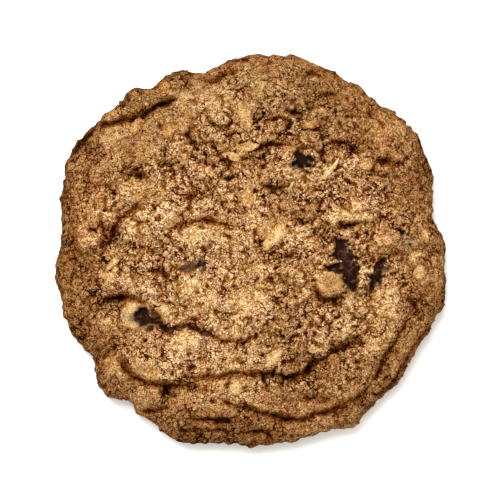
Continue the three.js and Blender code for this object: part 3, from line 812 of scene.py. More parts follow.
@dataclass(frozen=True)
class TopForms:
    """The lumps, mounds painted paler, hollows painted browner and folds with painted shade of the top,
    each where its table puts it.
    """

    bare_rim: Rise = Rise(0.65, 0.92, 0.5)
    lump_power: float = 2.6
    smooth_power: float = 3.0
    smooth_calm: float = 0.8
    spot_depth: float = 1.6
    open_share: float = 0.75
    open_waves: Ripple = Ripple(0.7, 2.8, 200)
    open_limits: Span = (0.15, 1.2)
    fold_sway: float = 0.6
    fold_samples: int = 14
    fold_end: float = 2.5
    fold_start: float = 0.2
    fold_floor: float = 0.45
    fold_sharpness: float = 0.4
    fold_shade: float = 0.9
    fold_shade_width: float = 0.8
    step_reach: float = 5.0

    def build(self, skin: Skin, rough: Roughness) -> Forms:
        """Adds up the forms.

        Args:
            skin: The crust before its relief.
            rough: Where the unevenness comes from.

        Returns:
            What the forms do.
        """
        x, y, _ = skin.place.T
        shift_x, shift_y, _ = skin.bend.T
        relief, spot_tone, crease_shading = np.zeros((3, len(x)))
        bare = self.bare_rim.at(skin.reach)
        for lump in LUMPS:
            sway = 1 - self.smooth_calm * lump.smooth
            away = np.hypot(x + sway * shift_x - lump.x, y + sway * shift_y - lump.y)
            power = self.lump_power + self.smooth_power * lump.smooth
            mound = np.exp(-0.5 * (away / lump.radius) ** power)
            relief += lump.rise * mound
            bare = np.maximum(bare, lump.smooth * mound)
        for spot in SPOTS:
            away = np.hypot(x + shift_x - spot.x, y + shift_y - spot.y)
            spot_tone += spot.toast * bell(away, spot.radius)
        relief -= self.spot_depth * spot_tone
        patchy = np.clip(self.open_share + rough.ripples(skin.place, self.open_waves), *self.open_limits)
        fold_x, fold_y = x + self.fold_sway * shift_x, y + self.fold_sway * shift_y
        for fold in FOLDS:
            height, shown = self.fold_relief(fold, fold_x, fold_y, patchy)
            relief += height
            # Painted shade along each fold, as dark as its gloom.
            crease_shading = np.maximum(crease_shading, shown * fold.gloom)
        return Forms(relief, crease_shading, spot_tone, bare)

    def fold_relief(self, fold: Fold, x: Floats, y: Floats, patchy: Floats) -> tuple[Floats, Floats]:
        """What one fold does to the crust.

        Args:
            fold: The fold.
            x: Places to the right.
            y: Places away.
            patchy: How open each place lets the fold be.

        Returns:
            Height to add, and how strongly shade is painted along the fold, from 0 to 1.
        """
        run = smooth_run(fold.run, self.fold_samples)
        gap = self.step_reach * 2
        low, high = run.min(axis=0) - gap, run.max(axis=0) + gap
        near = np.flatnonzero((x > low[0]) & (x < high[0]) & (y > low[1]) & (y < high[1]))
        height, shown = np.zeros((2, len(x)))
        away = np.hypot(x[near, None] - run[:, 0], y[near, None] - run[:, 1])
        index = np.argmin(away, axis=1)
        distance = away[np.arange(len(near)), index]
        before = run[np.maximum(index - 1, 0)]
        after = run[np.minimum(index + 1, len(run) - 1)]
        heading = after - before
        left = heading[:, 0] * (y[near] - before[:, 1]) - heading[:, 1] * (x[near] - before[:, 0])
        travelled = np.concatenate(((0,), np.cumsum(np.linalg.norm(np.diff(run, axis=0), axis=1))))
        from_end = np.minimum(travelled, travelled[-1] - travelled)[index]
        strength = np.clip(self.fold_start + from_end / self.fold_end, 0, 1)
        opened = strength * np.maximum(patchy[near], fold.gloom)
        step = 0.5 * fold.step * np.tanh(distance / fold.width) * bell(distance, self.step_reach)
        cut = np.exp(-distance / (self.fold_sharpness * fold.width))
        crease = self.fold_floor * bell(distance, fold.width) + (1 - self.fold_floor) * cut
        height[near] = strength * np.sign(left) * step - opened * fold.depth * crease
        # How strongly shade is painted along the fold.
        shown[near] = self.fold_shade * opened * bell(distance, self.fold_shade_width * fold.width)
        return height, shown


@dataclass(frozen=True)
class Clod:
    """One size of clod: how far apart clods lie and how far they are domed, uneven and parted."""

    across: float
    shift: float
    dome: float
    uneven: float
    gap_depth: float
    gap_width: float
    shoulder: float
    least_gap: float


@dataclass(frozen=True)
class Crumb:
    """Relief of the dough at each point of the grid, and what its browning needs to know of it."""

    height: Floats
    porous: Floats
    draw: Floats
    ragged: Floats


@dataclass(frozen=True)
class CrumbRelief:
    """Clods, ridges, grain and pores of the dough, calmer where it is bare, at the rim and in front."""

    clods: tuple[Clod, ...] = (
        Clod(6.5, 0.0, 0.7, 0.9, 0.7, 0.14, 0.35, least_gap=0.0),
        Clod(3.0, 37.0, 0.3, 0.45, 0.45, 0.2, 0.3, least_gap=0.3),
    )
    clod_middle: float = 0.45
    clod_share: float = 0.55
    clod_shifts: Ripple = Ripple(0.8, 5.0, 10)
    cracked_waves: Ripple = Ripple(1.0, 14, 15)
    cracked: Rise = Rise(-0.3, 0.3)
    lumpy: Rise = Rise(0.88, 0.55, 0.75, 0.25)
    lumpy_bare: float = 0.8
    lumpy_front: Rise = Rise(18.0, 28.0, -0.6, 1.0)
    crumbly: Rise = Rise(0.9, 0.6, 0.4, 0.6)
    crumbly_waves: Ripple = Ripple(0.25, 9)
    crumbly_limits: Span = (0.4, 1.1)
    crumbly_bare: float = 0.85
    ragged_shifts: Ripple = Ripple(0.5, 1.7, 5)
    swell: Ripple = Ripple(0.3, 11)
    ridges: Ripple = Ripple(0.3, 2.1, 60)
    ridge_drop: float = 0.1
    grain: Ripple = Ripple(0.18, 1.2)
    grit: Ripple = Ripple(0.12, 0.8, 30)
    pore_waves: Ripple = Ripple(1.0, 1.9, 70)
    porous: Rise = Rise(0.3, 0.75)
    pore_depth: float = 0.6
    lift: float = 0.45

    def build(self, skin: Skin, bare: Floats, rough: Roughness) -> Crumb:
        """Adds up the relief.

        Args:
            skin: The crust before its relief.
            bare: How far each point lacks crumbs.
            rough: Where the relief comes from.

        Returns:
            Height of the relief, how porous the dough is, a random number for each small clod, and the
            shifted places that the finest waves are read at.
        """
        place = skin.place
        lumpy = self.lumpy.at(skin.reach) * (1 - self.lumpy_bare * bare) * self.lumpy_front.at(-place[:, 1])
        crumbly = self.crumbly.at(skin.reach) + rough.ripples(place, self.crumbly_waves)
        crumbly = np.clip(crumbly, *self.crumbly_limits) * (1 - self.crumbly_bare * bare)
        cracked = self.cracked.at(rough.ripples(place, self.cracked_waves))
        wild = place + skin.bend + rough.jumble(place, self.clod_shifts)
        height = np.zeros(len(place))
        for clod in self.clods:
            middle, seam, draw = rough.clumps(wild + clod.shift, clod.across)
            gap = ease(seam, clod.gap_width, 0.0) * (clod.least_gap + (1 - clod.least_gap) * cracked)
            height += clod.dome * (self.clod_middle - middle) - clod.gap_depth * gap
            height += clod.uneven * (draw - 0.5) * ease(seam, 0.0, clod.shoulder)
        ragged = place + rough.jumble(place, self.ragged_shifts)
        porous = crumbly * self.porous.at(rough.ripples(ragged, self.pore_waves))
        height = self.clod_share * lumpy * height + rough.ripples(place, self.swell)
        height += np.abs(rough.ripples(ragged, self.ridges)) - self.ridge_drop
        height += crumbly * (rough.ripples(ragged, self.grain) + rough.ripples(place, self.grit))
        height += self.lift - self.pore_depth * porous
        return Crumb(height, porous, draw, ragged)


@dataclass(frozen=True)
class ChipGaps:
    """The ragged openings over the chips, the smears round them and the thin dough beside them."""

    sink: float = 0.9
    collar: float = 0.15
    raised: Rise = Rise(3.0, 0.3)
    opened: Rise = Rise(0.25, -0.25)
    smeared: Rise = Rise(0.7, -0.1)
    smear_crumbs: float = 0.6
    covered: Rise = Rise(0.8, -1.2)
    film_crumbs: float = 0.6
    frays: Ripple = Ripple(0.8, 1.4, 140)
    crumbs: tuple[Ripple, ...] = (Ripple(0.55, 1.3, 160), Ripple(0.45, 0.8, 180))

    def cut(self, points: Floats, skin: Skin, rough: Roughness) -> tuple[Floats, Floats, Floats]:
        """Lowers the points where a chip shows.

        Args:
            points: The crust with its relief, which is changed.
            skin: The crust before its relief.
            rough: Where the unevenness comes from.

        Returns:
            How much chocolate is smeared over each point, how much shows through a film of dough, and
            how grey the film is, from 0 to 1.
        """
        x, y, _ = (skin.place + skin.bend + rough.jumble(skin.place, self.frays)).T
        crumbed = rough.ripples(skin.place, *self.crumbs)
        cocoa, film, grey = np.zeros((3, len(x)))
        for chip in CHIPS:
            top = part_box(chip.node)[1].z / MILLIMETRE
            outside = self.outside(chip, x, y, crumbed)
            height = points[:, 2]
            lowered = np.minimum(height, top - self.sink)
            height += self.raised.at(outside) * np.maximum(top + self.collar - height, 0)
            height += self.opened.at(outside) * (lowered - height)
            cocoa = np.maximum(cocoa, self.smeared.at(outside + self.smear_crumbs * crumbed))
            for film_x, film_y, radius, strength in chip.films:
                covered = self.covered.at(np.hypot(x - film_x, y - film_y) - radius)
                mottled = covered * (1 - self.film_crumbs * np.maximum(crumbed, 0))
                film = np.maximum(film, strength * mottled)
                grey = np.maximum(grey, chip.grey * covered)
        return cocoa, film, grey

    def outside(self, chip: Chip, x: Floats, y: Floats, crumbed: Floats) -> Floats:
        """How far each place is outside the chip's openings.

        Args:
            chip: The chip.
            x: Places to the right.
            y: Places away.
            crumbed: Share of an opening's width that crumbs cover, or that is open beyond it below 0.

        Returns:
            The distances, below 0 inside.
        """
        outside = np.full(len(x), np.inf)
        for opening in chip.openings:
            for (from_x, from_y, from_width), (to_x, to_y, to_width) in zip(opening, opening[1:]):
                run_x, run_y = to_x - from_x, to_y - from_y
                along = ((x - from_x) * run_x + (y - from_y) * run_y) / (run_x**2 + run_y**2)
                along = np.clip(along, 0, 1)
                away = np.hypot(x - from_x - along * run_x, y - from_y - along * run_y)
                half = from_width + along * (to_width - from_width)
                outside = np.minimum(outside, away - half * (1 - chip.ragged * crumbed))
        return outside


@dataclass(frozen=True)
class Hollow:
    """One size of hollow for painted shade: cells across its half, how dark the painted shade is for its
    depth, and limits of that.
    """

    reach: int
    strength: float
    limits: Span


@dataclass(frozen=True)
class Baking:
    """How the crust is browned, with painted light and shade in the same values: browner at the rim,
    browner in hollows and paler on mounds as painted shade and light, and paler at the back under a painted
    sheen.
    """

    hollows: tuple[Hollow, ...] = (
        Hollow(2, 2.1, (-0.4, 0.7)),
        Hollow(5, 0.5, (-0.3, 0.45)),
        Hollow(14, 0.3, (-0.2, 0.4)),
    )
    pore_shade: float = 0.25
    crease_shade: float = 1.25
    darkest: float = 1.3
    rim_toast: Rise = Rise(0.6, 0.95, 0.27, 0.4)
    # Browner at the very edge: partly browning, partly painted shade where the side turns away.
    lip_toast_and_shade: Rise = Rise(0.93, 1.0, 0.15)
    # Painted shade: browner towards the front, away from the key light.
    front_shade_toast: Rise = Rise(10.0, 40.0, 0.06)
    # Painted shade: browner in the folds.
    crease_shade_toast: float = 0.15
    clod_toast: float = 0.1
    # Painted shade and light: browner in broad hollows, paler on broad mounds.
    hollow_shade_toast: Hollow = Hollow(14, 0.25, (-0.2, 0.15))
    # The spots' tone: partly browning, partly painted shade in hollows and painted light on mounds.
    spot_toast_and_shade: float = 0.8
    patches: tuple[Ripple, ...] = (Ripple(0.07, 9, 15), Ripple(0.06, 3.5, 35))
    flecks: Ripple = Ripple(0.1, 1.6, 80)
    # Painted sheen at the back of the rim: these make it paler and greyer.
    sheen_toast_loss: float = 0.14
    rim_sheen: Rise = Rise(0.55, 0.85, 0.55)
    back_sheen: Rise = Rise(8.0, 30.0)
    right_sheen: Rise = Rise(36.0, 8.0)
    lip_sheen: Rise = Rise(0.9, 0.98, -0.8, 1.0)

    def shade(self, bump: Floats, grid: Grid, crumb: Crumb, crease_shading: Floats) -> Floats:
        """How much shade is painted into each point, for how far it is sunk in hollows, pores and folds.

        Args:
            bump: Height of all the relief.
            grid: The points' grid.
            crumb: Relief of the dough.
            crease_shading: How far shade is painted on each point along a fold.

        Returns:
            The painted shade, 0 on what stands out.
        """
        hollow = self.pore_shade * crumb.porous
        hollow = hollow + sum(self.sunk(bump, grid, size) for size in self.hollows)
        return np.clip(np.maximum(hollow, self.crease_shade * crease_shading), 0, self.darkest)

    def sunk(self, bump: Floats, grid: Grid, size: Hollow) -> Floats:
        """How far each point lies below those round it, as one size of hollow counts it."""
        return np.clip(size.strength * (grid.soften(bump, size.reach) - bump), *size.limits)

    def sheen_greying(self, skin: Skin) -> Floats:
        """How far painted sheen makes the skin at the back, within its lip, greyer than the rest.

        Args:
            skin: The crust before its relief.

        Returns:
            The painted sheen, from 0 to 1.
        """
        x, y, _ = skin.place.T
        greyed = self.rim_sheen.at(skin.reach) * self.back_sheen.at(y) * self.right_sheen.at(x)
        return greyed * self.lip_sheen.at(skin.reach)

    def toast(
        self, skin: Skin, forms: Forms, crumb: Crumb, bump: Floats, grid: Grid, rough: Roughness
    ) -> Floats:
        """How brown each point is, with painted shade in hollows, folds, spots, at the lip and towards the
        front, and painted light on mounds and under the sheen at the back.

        Args:
            skin: The crust before its relief.
            forms: What lumps, spots and folds do.
            crumb: Relief of the dough.
            bump: Height of all the relief.
            grid: The points' grid.
            rough: Where the patches and flecks come from.

        Returns:
            The brownness with this painted light and shade, from 0 to 1.
        """
        toast = self.rim_toast.at(skin.reach) + self.lip_toast_and_shade.at(skin.reach)
        toast += self.front_shade_toast.at(-skin.place[:, 1])
        toast += rough.ripples(skin.place, *self.patches) + rough.ripples(crumb.ragged, self.flecks)
        toast += self.crease_shade_toast * forms.crease_shading + self.spot_toast_and_shade * forms.spot_tone
        toast += self.clod_toast * (crumb.draw - 0.5) + self.sunk(bump, grid, self.hollow_shade_toast)
        return np.clip(toast - self.sheen_toast_loss * self.sheen_greying(skin), 0, 1)


@dataclass
class Crust:
    """The dough: one closed skin from the craggy top round the side to the flat base."""

    grid: Grid = Grid()
    outline: Outline = Outline()
    top: TopForms = TopForms()
    crumb: CrumbRelief = CrumbRelief()
    gaps: ChipGaps = ChipGaps()
    baking: Baking = Baking()
    foot_relief: Rise = Rise(0.0, 1.6)
    side_relief: float = 0.55
    soft_reach: int = 4
    base_rings: tuple[float, ...] = (0.97, 0.9, 0.75, 0.5, 0.25)
    base_toast: float = 0.62
    base_patches: Ripple = Ripple(0.2, 6)
    chart_edge: float = 0.005
    chart_top: float = 0.79
    chart_base: float = 0.9
    chart_base_half: float = 0.095
    chart_room: float = 1.1
    seed: int = 7
    points: Floats = field(init=False)
    normals: Floats = field(init=False)
    soft_points: Floats = field(init=False)
    soft_normals: Floats = field(init=False)
    reach: Floats = field(init=False)
    layers: dict[Layer, Floats] = field(init=False)

    def build(self) -> Shape:
        """Works out the skin and what its finish needs to know.

        Returns:
            The closed skin with its layers and bake chart.
        """
        rough = Roughness(self.seed)
        skin = self.outline.skin(self.grid, rough)
        forms = self.top.build(skin, rough)
        crumb = self.crumb.build(skin, forms.bare, rough)
        settled = self.foot_relief.at(skin.place[:, 2])
        settled *= self.side_relief + (1 - self.side_relief) * skin.topside
        outward, upward = crumb.height * settled, forms.relief * skin.topside
        self.points = skin.place + skin.facing * outward[:, None]
        self.points[:, 2] += upward
        cocoa, film, grey = self.gaps.cut(self.points, skin, rough)
        bump = outward + upward
        self.reach = skin.reach
        self.layers = {
            Layer.TOAST: self.baking.toast(skin, forms, crumb, bump, self.grid, rough),
            # Painted shade in hollows, pores and folds.
            Layer.SHADE: self.baking.shade(bump, self.grid, crumb, forms.crease_shading),
            Layer.COCOA: cocoa,
            Layer.FILM: film,
            # Painted sheen at the back, and the real grey of the films over the chips.
            Layer.PAINTED_SHEEN_AND_FILM_GREY: np.maximum(self.baking.sheen_greying(skin), grey),
            Layer.BARE: forms.bare,
        }
        self.normals = self.grid.normals(self.points)
        softened = [self.grid.soften(part, self.soft_reach) for part in self.points.T]
        self.soft_points = np.column_stack(softened)
        self.soft_normals = self.grid.normals(self.soft_points)
        return self.closed_skin(rough)

    def closed_skin(self, rough: Roughness) -> Shape:
        """Joins the craggy grid to rings of the flat base.

        Args:
            rough: Where the base's patches come from.

        Returns:
            The closed skin with its layers and bake chart.
        """
        quads, rim = self.grid.faces()
        count = len(rim)
        rings = [self.points[rim] * (scale, scale, 0) for scale in self.base_rings]
        first = len(self.points) + np.arange(len(rings))[:, None] * count
        loops = np.concatenate((rim[None], first + np.arange(count)))
        outer, inner = loops[:-1], loops[1:]
        base = np.stack((outer, inner, np.roll(inner, -1, axis=1), np.roll(outer, -1, axis=1)), axis=-1)
        base = base.reshape(-1, 4)
        last, middle = loops[-1], len(self.points) + len(rings) * count
        fan = np.column_stack((last, np.full(count, middle), np.roll(last, -1)))
        under = np.concatenate((*rings, np.zeros((1, 3))))
        points = np.concatenate((self.points, under))
        below = {layer: np.zeros(len(under)) for layer in self.layers}
        below[Layer.TOAST] = self.base_toast + rough.ripples(under, self.base_patches)
        layers = {layer: np.concatenate((values, below[layer])) for layer, values in self.layers.items()}
        row, column = np.divmod(np.arange(len(self.points)), self.grid.side)
        above = self.chart_edge + self.chart_top * np.column_stack((column, row)) / self.grid.cells
        half = self.outline.mean_radius * self.chart_room
        beneath = self.chart_base + self.chart_base_half * points[:, :2] / half
        chart = [above[quads], beneath[base], beneath[fan]]
        return Shape(points, [quads, base, fan], layers, chart)


@dataclass
class Crumbs:
    """Loose grains of baked dough on the crust, all in one mesh."""

    grade: Grade
    count: int
    smallest: float
    largest: float
    facets: Facets
    seed: int
    sink: float = 0.05
    flatness: float = 0.7
    spread: float = 0.14
    rim_share: float = 0.4
    rim_reach: Span = (0.88, 0.6)
    lowest: float = 2.0
    most_cocoa: float = 0.3
    bare_loss: float = 0.9
    shade_span: Span = (0.5, 0.1)
    stretches: Span = (0.6, 1.2)
    dents: Span = (0.6, 1.3)
    even_shade: float = 0.15
    crust_shade: float = 0.5
    under_shade: float = 1.2
    darkest: float = 0.9

    def build(self, crust: Crust) -> Shape:
        """Scatters the grains where the crust is crumbly.

        Args:
            crust: The dough that they lie on.

        Returns:
            All the grains.
        """
        random = np.random.default_rng(self.seed)
        chance = self.rim_share + (1 - self.rim_share) * ease(crust.reach, *self.rim_reach)
        chance *= (crust.points[:, 2] > self.lowest) * (crust.layers[Layer.COCOA] < self.most_cocoa)
        chance *= 1 - self.bare_loss * crust.layers[Layer.BARE]
        chance *= ease(crust.layers[Layer.SHADE], *self.shade_span)
        spots = random.choice(len(chance), self.count, replace=False, p=chance / chance.sum())
        points, triangles = grain(self.facets)
        size = self.smallest + (self.largest - self.smallest) * random.random(self.count) ** 2
        sizes = size[:, None] * random.uniform(*self.stretches, (self.count, 3)) / 2
        sizes[:, 2] *= self.flatness
        frames = across_frames(crust.normals[spots], random.uniform(0, 2 * np.pi, self.count))
        uneven = random.uniform(*self.dents, (self.count, len(points), 1))
        local = points[None] * uneven * sizes[:, None]
        middle = crust.points[spots] + crust.normals[spots] * (size * self.sink)[:, None]
        placed = middle[:, None] + np.einsum("nij,npj->npi", frames, local)
        placed[..., 2] = np.maximum(placed[..., 2], 0)
        tone = crust.layers[Layer.TOAST][spots] + random.normal(0, self.spread, self.count)
        # Painted shade: darker where the crust below is shaded, and towards each grain's underside.
        shade = self.even_shade + self.crust_shade * crust.layers[Layer.SHADE][spots][:, None]
        shade = shade - self.under_shade * local[..., 2] / size[:, None]
        layers = {
            Layer.TOAST: np.clip(np.repeat(tone, len(points)), 0, 1),
            Layer.SHADE: np.clip(shade, 0, self.darkest).ravel(),
        }
        shift = np.arange(self.count)[:, None, None] * len(points)
        return Shape(placed.reshape(-1, 3), [(triangles + shift).reshape(-1, 3)], layers)


@dataclass
class OatFlakes:
    """Rolled oat flakes baked into the crust, all in one mesh."""

    thickness: float = 0.55
    sides: int = 26
    rings: tuple[float, ...] = (0.25, 0.5, 0.72, 0.9, 1.0)
    under_rings: tuple[float, ...] = (0.93, 0.5)
    wide_waves: tuple[tuple[int, float], ...] = ((2, 0.1), (3, 0.08))
    nicks: float = 0.09
    curls: Span = (-0.5, 0.35)
    twist: float = 0.3
    crease_depths: Span = (0.0, 0.25)
    crease_place: float = 0.3
    crease_width: float = 0.12
    upper_lift: float = 0.55
    edge_drop: float = 0.3
    bumps: float = 0.2
    under_drop: float = 0.5
    lean: float = 0.22
    drape: float = 0.8
    drape_reach: float = 0.9
    even_toast: float = 0.1
    edge_toast: float = 0.2
    edge_shade: float = 0.25
    under_shade: float = 0.8
    cover_edge: Span = (0.5, 0.4)
    seed: int = 23

    def build(self, crust: Crust) -> Shape:
        """Lays the flakes on the crust, which lacks crumbs where they are.

        Args:
            crust: The dough that they are baked into.

        Returns:
            All the flakes.
        """
        random = np.random.default_rng(self.seed)
        points, toasts, shades, faces = [], [], [], []
        for flake in FLAKES:
            local, edge, flake_shade = self.one_flake(flake, random)
            faces.append(self.flake_faces() + len(local) * len(points))
            points.append(self.lay(flake, local, crust, random))
            toasts.append(np.clip(flake.toast + self.even_toast + self.edge_toast * edge**3, 0, 1))
            shades.append(flake_shade)
            crust.layers[Layer.BARE] = np.maximum(crust.layers[Layer.BARE], self.cover(flake, crust))
        layers = {Layer.TOAST: np.concatenate(toasts), Layer.SHADE: np.concatenate(shades)}
        return Shape(np.concatenate(points), [np.concatenate(faces)], layers)

    def one_flake(self, flake: Flake, random: np.random.Generator) -> tuple[Floats, Floats, Floats]:
        """Makes one flake: a thin curled oval with a crease along it.

        Args:
            flake: Its size and bend.
            random: Where its unevenness is drawn from.

        Returns:
            Points about its middle, how near the edge each is, and how much shade is painted on each: in
            the crease, at the edge and underneath.
        """
        around = np.linspace(0, 2 * np.pi, self.sides, endpoint=False)
        ragged = 1 + sum(
            height * np.cos(waves * around + random.uniform(0, 6)) for waves, height in self.wide_waves
        )
        ragged += random.uniform(-self.nicks, self.nicks, self.sides)
        rings = np.concatenate((self.rings, self.under_rings))
        top = np.concatenate((np.ones(len(self.rings)), np.zeros(len(self.under_rings))))
        edge = np.concatenate(((0,), np.repeat(rings, self.sides), (0,)))
        upper = np.concatenate(((1,), np.repeat(top, self.sides), (0,)))
        out = np.concatenate(((0,), (rings[:, None] * ragged).ravel(), (0,)))
        angle = np.concatenate(((0,), np.tile(around, len(rings)), (0,)))
        x = out * np.cos(angle)
        y = out * np.sin(angle) + flake.curve * x**2
        curl, twist = random.uniform(*self.curls), random.uniform(-self.twist, self.twist)
        crease = random.uniform(*self.crease_depths)
        crease = crease * bell(y - random.uniform(-self.crease_place, self.crease_place), self.crease_width)
        bumps = random.uniform(-self.bumps, self.bumps, len(x))
        lift = curl * x**2 + twist * x * y - crease * upper * (1 - edge**2)
        lift += np.where(upper > 0, self.upper_lift - self.edge_drop * edge**4 + bumps, -self.under_drop)
        local = np.column_stack((x * flake.length / 2, y * flake.width / 2, lift * self.thickness))
        # Painted shade in the crease, at the very edge and all underneath.
        shaded = crease * (1 - edge) + self.edge_shade * edge**6
        return local, edge, np.where(upper > 0, shaded, self.under_shade)

    def lay(self, flake: Flake, local: Floats, crust: Crust, random: np.random.Generator) -> Floats:
        """Turns one flake to its place and drapes it over the crust.

        Args:
            flake: Its place and turn.
            local: Its points about its middle.
            crust: The dough that it is baked into.
            random: Where its lean is drawn from.

        Returns:
            Its points on the crust.
        """
        away = np.hypot(crust.points[:, 0] - flake.x, crust.points[:, 1] - flake.y)
        spot = np.argmin(away)
        facing = crust.soft_normals[spot] + random.uniform(-self.lean, self.lean, 3)
        facing /= np.linalg.norm(facing)
        turn = across_frames(facing[None], np.radians([flake.turn]))[0]
        placed = crust.soft_points[spot] + local @ turn.T
        if crust.reach[spot] < self.drape_reach:
            near = np.flatnonzero(away < flake.length)
            gaps = placed[:, None, :2] - crust.soft_points[None, near, :2]
            below = near[np.argmin(np.sum(gaps**2, axis=2), axis=1)]
            placed[:, 2] += self.drape * (crust.soft_points[below, 2] - placed[:, 2] + local[:, 2])
        placed[:, 2] = np.maximum(placed[:, 2], 0)
        return placed

    def cover(self, flake: Flake, crust: Crust) -> Floats:
        """Finds which part of the crust a flake covers.

        Args:
            flake: The flake.
            crust: The dough that it is baked into.

        Returns:
            How fully each point is covered, from 0 to 1.
        """
        turn = math.radians(flake.turn)
        x, y = crust.points[:, 0] - flake.x, crust.points[:, 1] - flake.y
        along = (x * math.cos(turn) + y * math.sin(turn)) / flake.length
        across = (y * math.cos(turn) - x * math.sin(turn)) / flake.width
        return ease(np.hypot(along, across), *self.cover_edge)

    def flake_faces(self) -> Floats:
        """Joins the rings of one flake, closed over at both middles.

        Returns:
            The triangles.
        """
        count = len(self.rings) + len(self.under_rings)
        loops = 1 + np.arange(count)[:, None] * self.sides + np.arange(self.sides)
        after = np.roll(loops, -1, axis=1)
        cap = np.column_stack((np.zeros(self.sides, int), loops[0], after[0]))
        base = np.column_stack((np.full(self.sides, 1 + count * self.sides), after[-1], loops[-1]))
        inner, outer = loops[:-1].ravel(), loops[1:].ravel()
        inner_after, outer_after = after[:-1].ravel(), after[1:].ravel()
        near = np.column_stack((inner, outer, outer_after))
        far = np.column_stack((inner, outer_after, inner_after))
        return np.concatenate((cap, near, far, base))


@dataclass
class ChocolateChips:
    """The dark chocolate chips, each a mesh of its own in place of its solid."""

    half_height: float = 3.1
    base_share: float = 0.55
    taper: float = 0.1
    crown: float = 0.6
    splits: int = 5
    bulges: tuple[Ripple, ...] = (Ripple(0.06, 0.8), Ripple(0.03, 0.3))
    dents: tuple[Ripple, ...] = (Ripple(0.2, 0.5), Ripple(0.12, 0.22))
    seed: int = 31

    def build(self, chip: Chip) -> Shape:
        """Makes one chip, half melted and uneven, where its solid lies.

        Args:
            chip: Its size and turn.

        Returns:
            The chip.
        """
        points, triangles = ball(self.splits)
        rough = Roughness(self.seed + chip.number)
        low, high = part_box(chip.node)
        upward = points[:, 2]
        wide = (1 + rough.ripples(points, *self.bulges)) * (1 - self.taper * np.maximum(upward, 0))
        tall = np.where(upward < 0, self.base_share * upward, np.abs(upward) ** self.crown)
        sizes = np.array((chip.length / 2, chip.width / 2, self.half_height))
        local = np.column_stack((points[:, 0] * wide, points[:, 1] * wide, tall)) * sizes
        local[:, 2] += rough.ripples(points, *self.dents)
        turn = across_frames(np.array([(0.0, 0.0, 1.0)]), np.radians([chip.turn]))[0]
        middle = (low + high) / 2 / MILLIMETRE
        middle.z = high.z / MILLIMETRE - self.half_height
        layers = {Layer.SHADE: np.full(len(points), chip.gloom)}
        return Shape(np.array(middle) + local @ turn.T, [triangles], layers)


@dataclass(frozen=True)
class Noise:
    """Random patches of a surface: waves in a metre, times finer waves are added, and their strength."""

    scale: float
    detail: float
    strength: float = 0.5


@dataclass(frozen=True)
class Seam:
    """One size of crack: cells in a metre, width as a share of a cell, and where and how far it shows."""

    scale: float
    width: float
    patch: Noise
    patch_level: float
    share: float


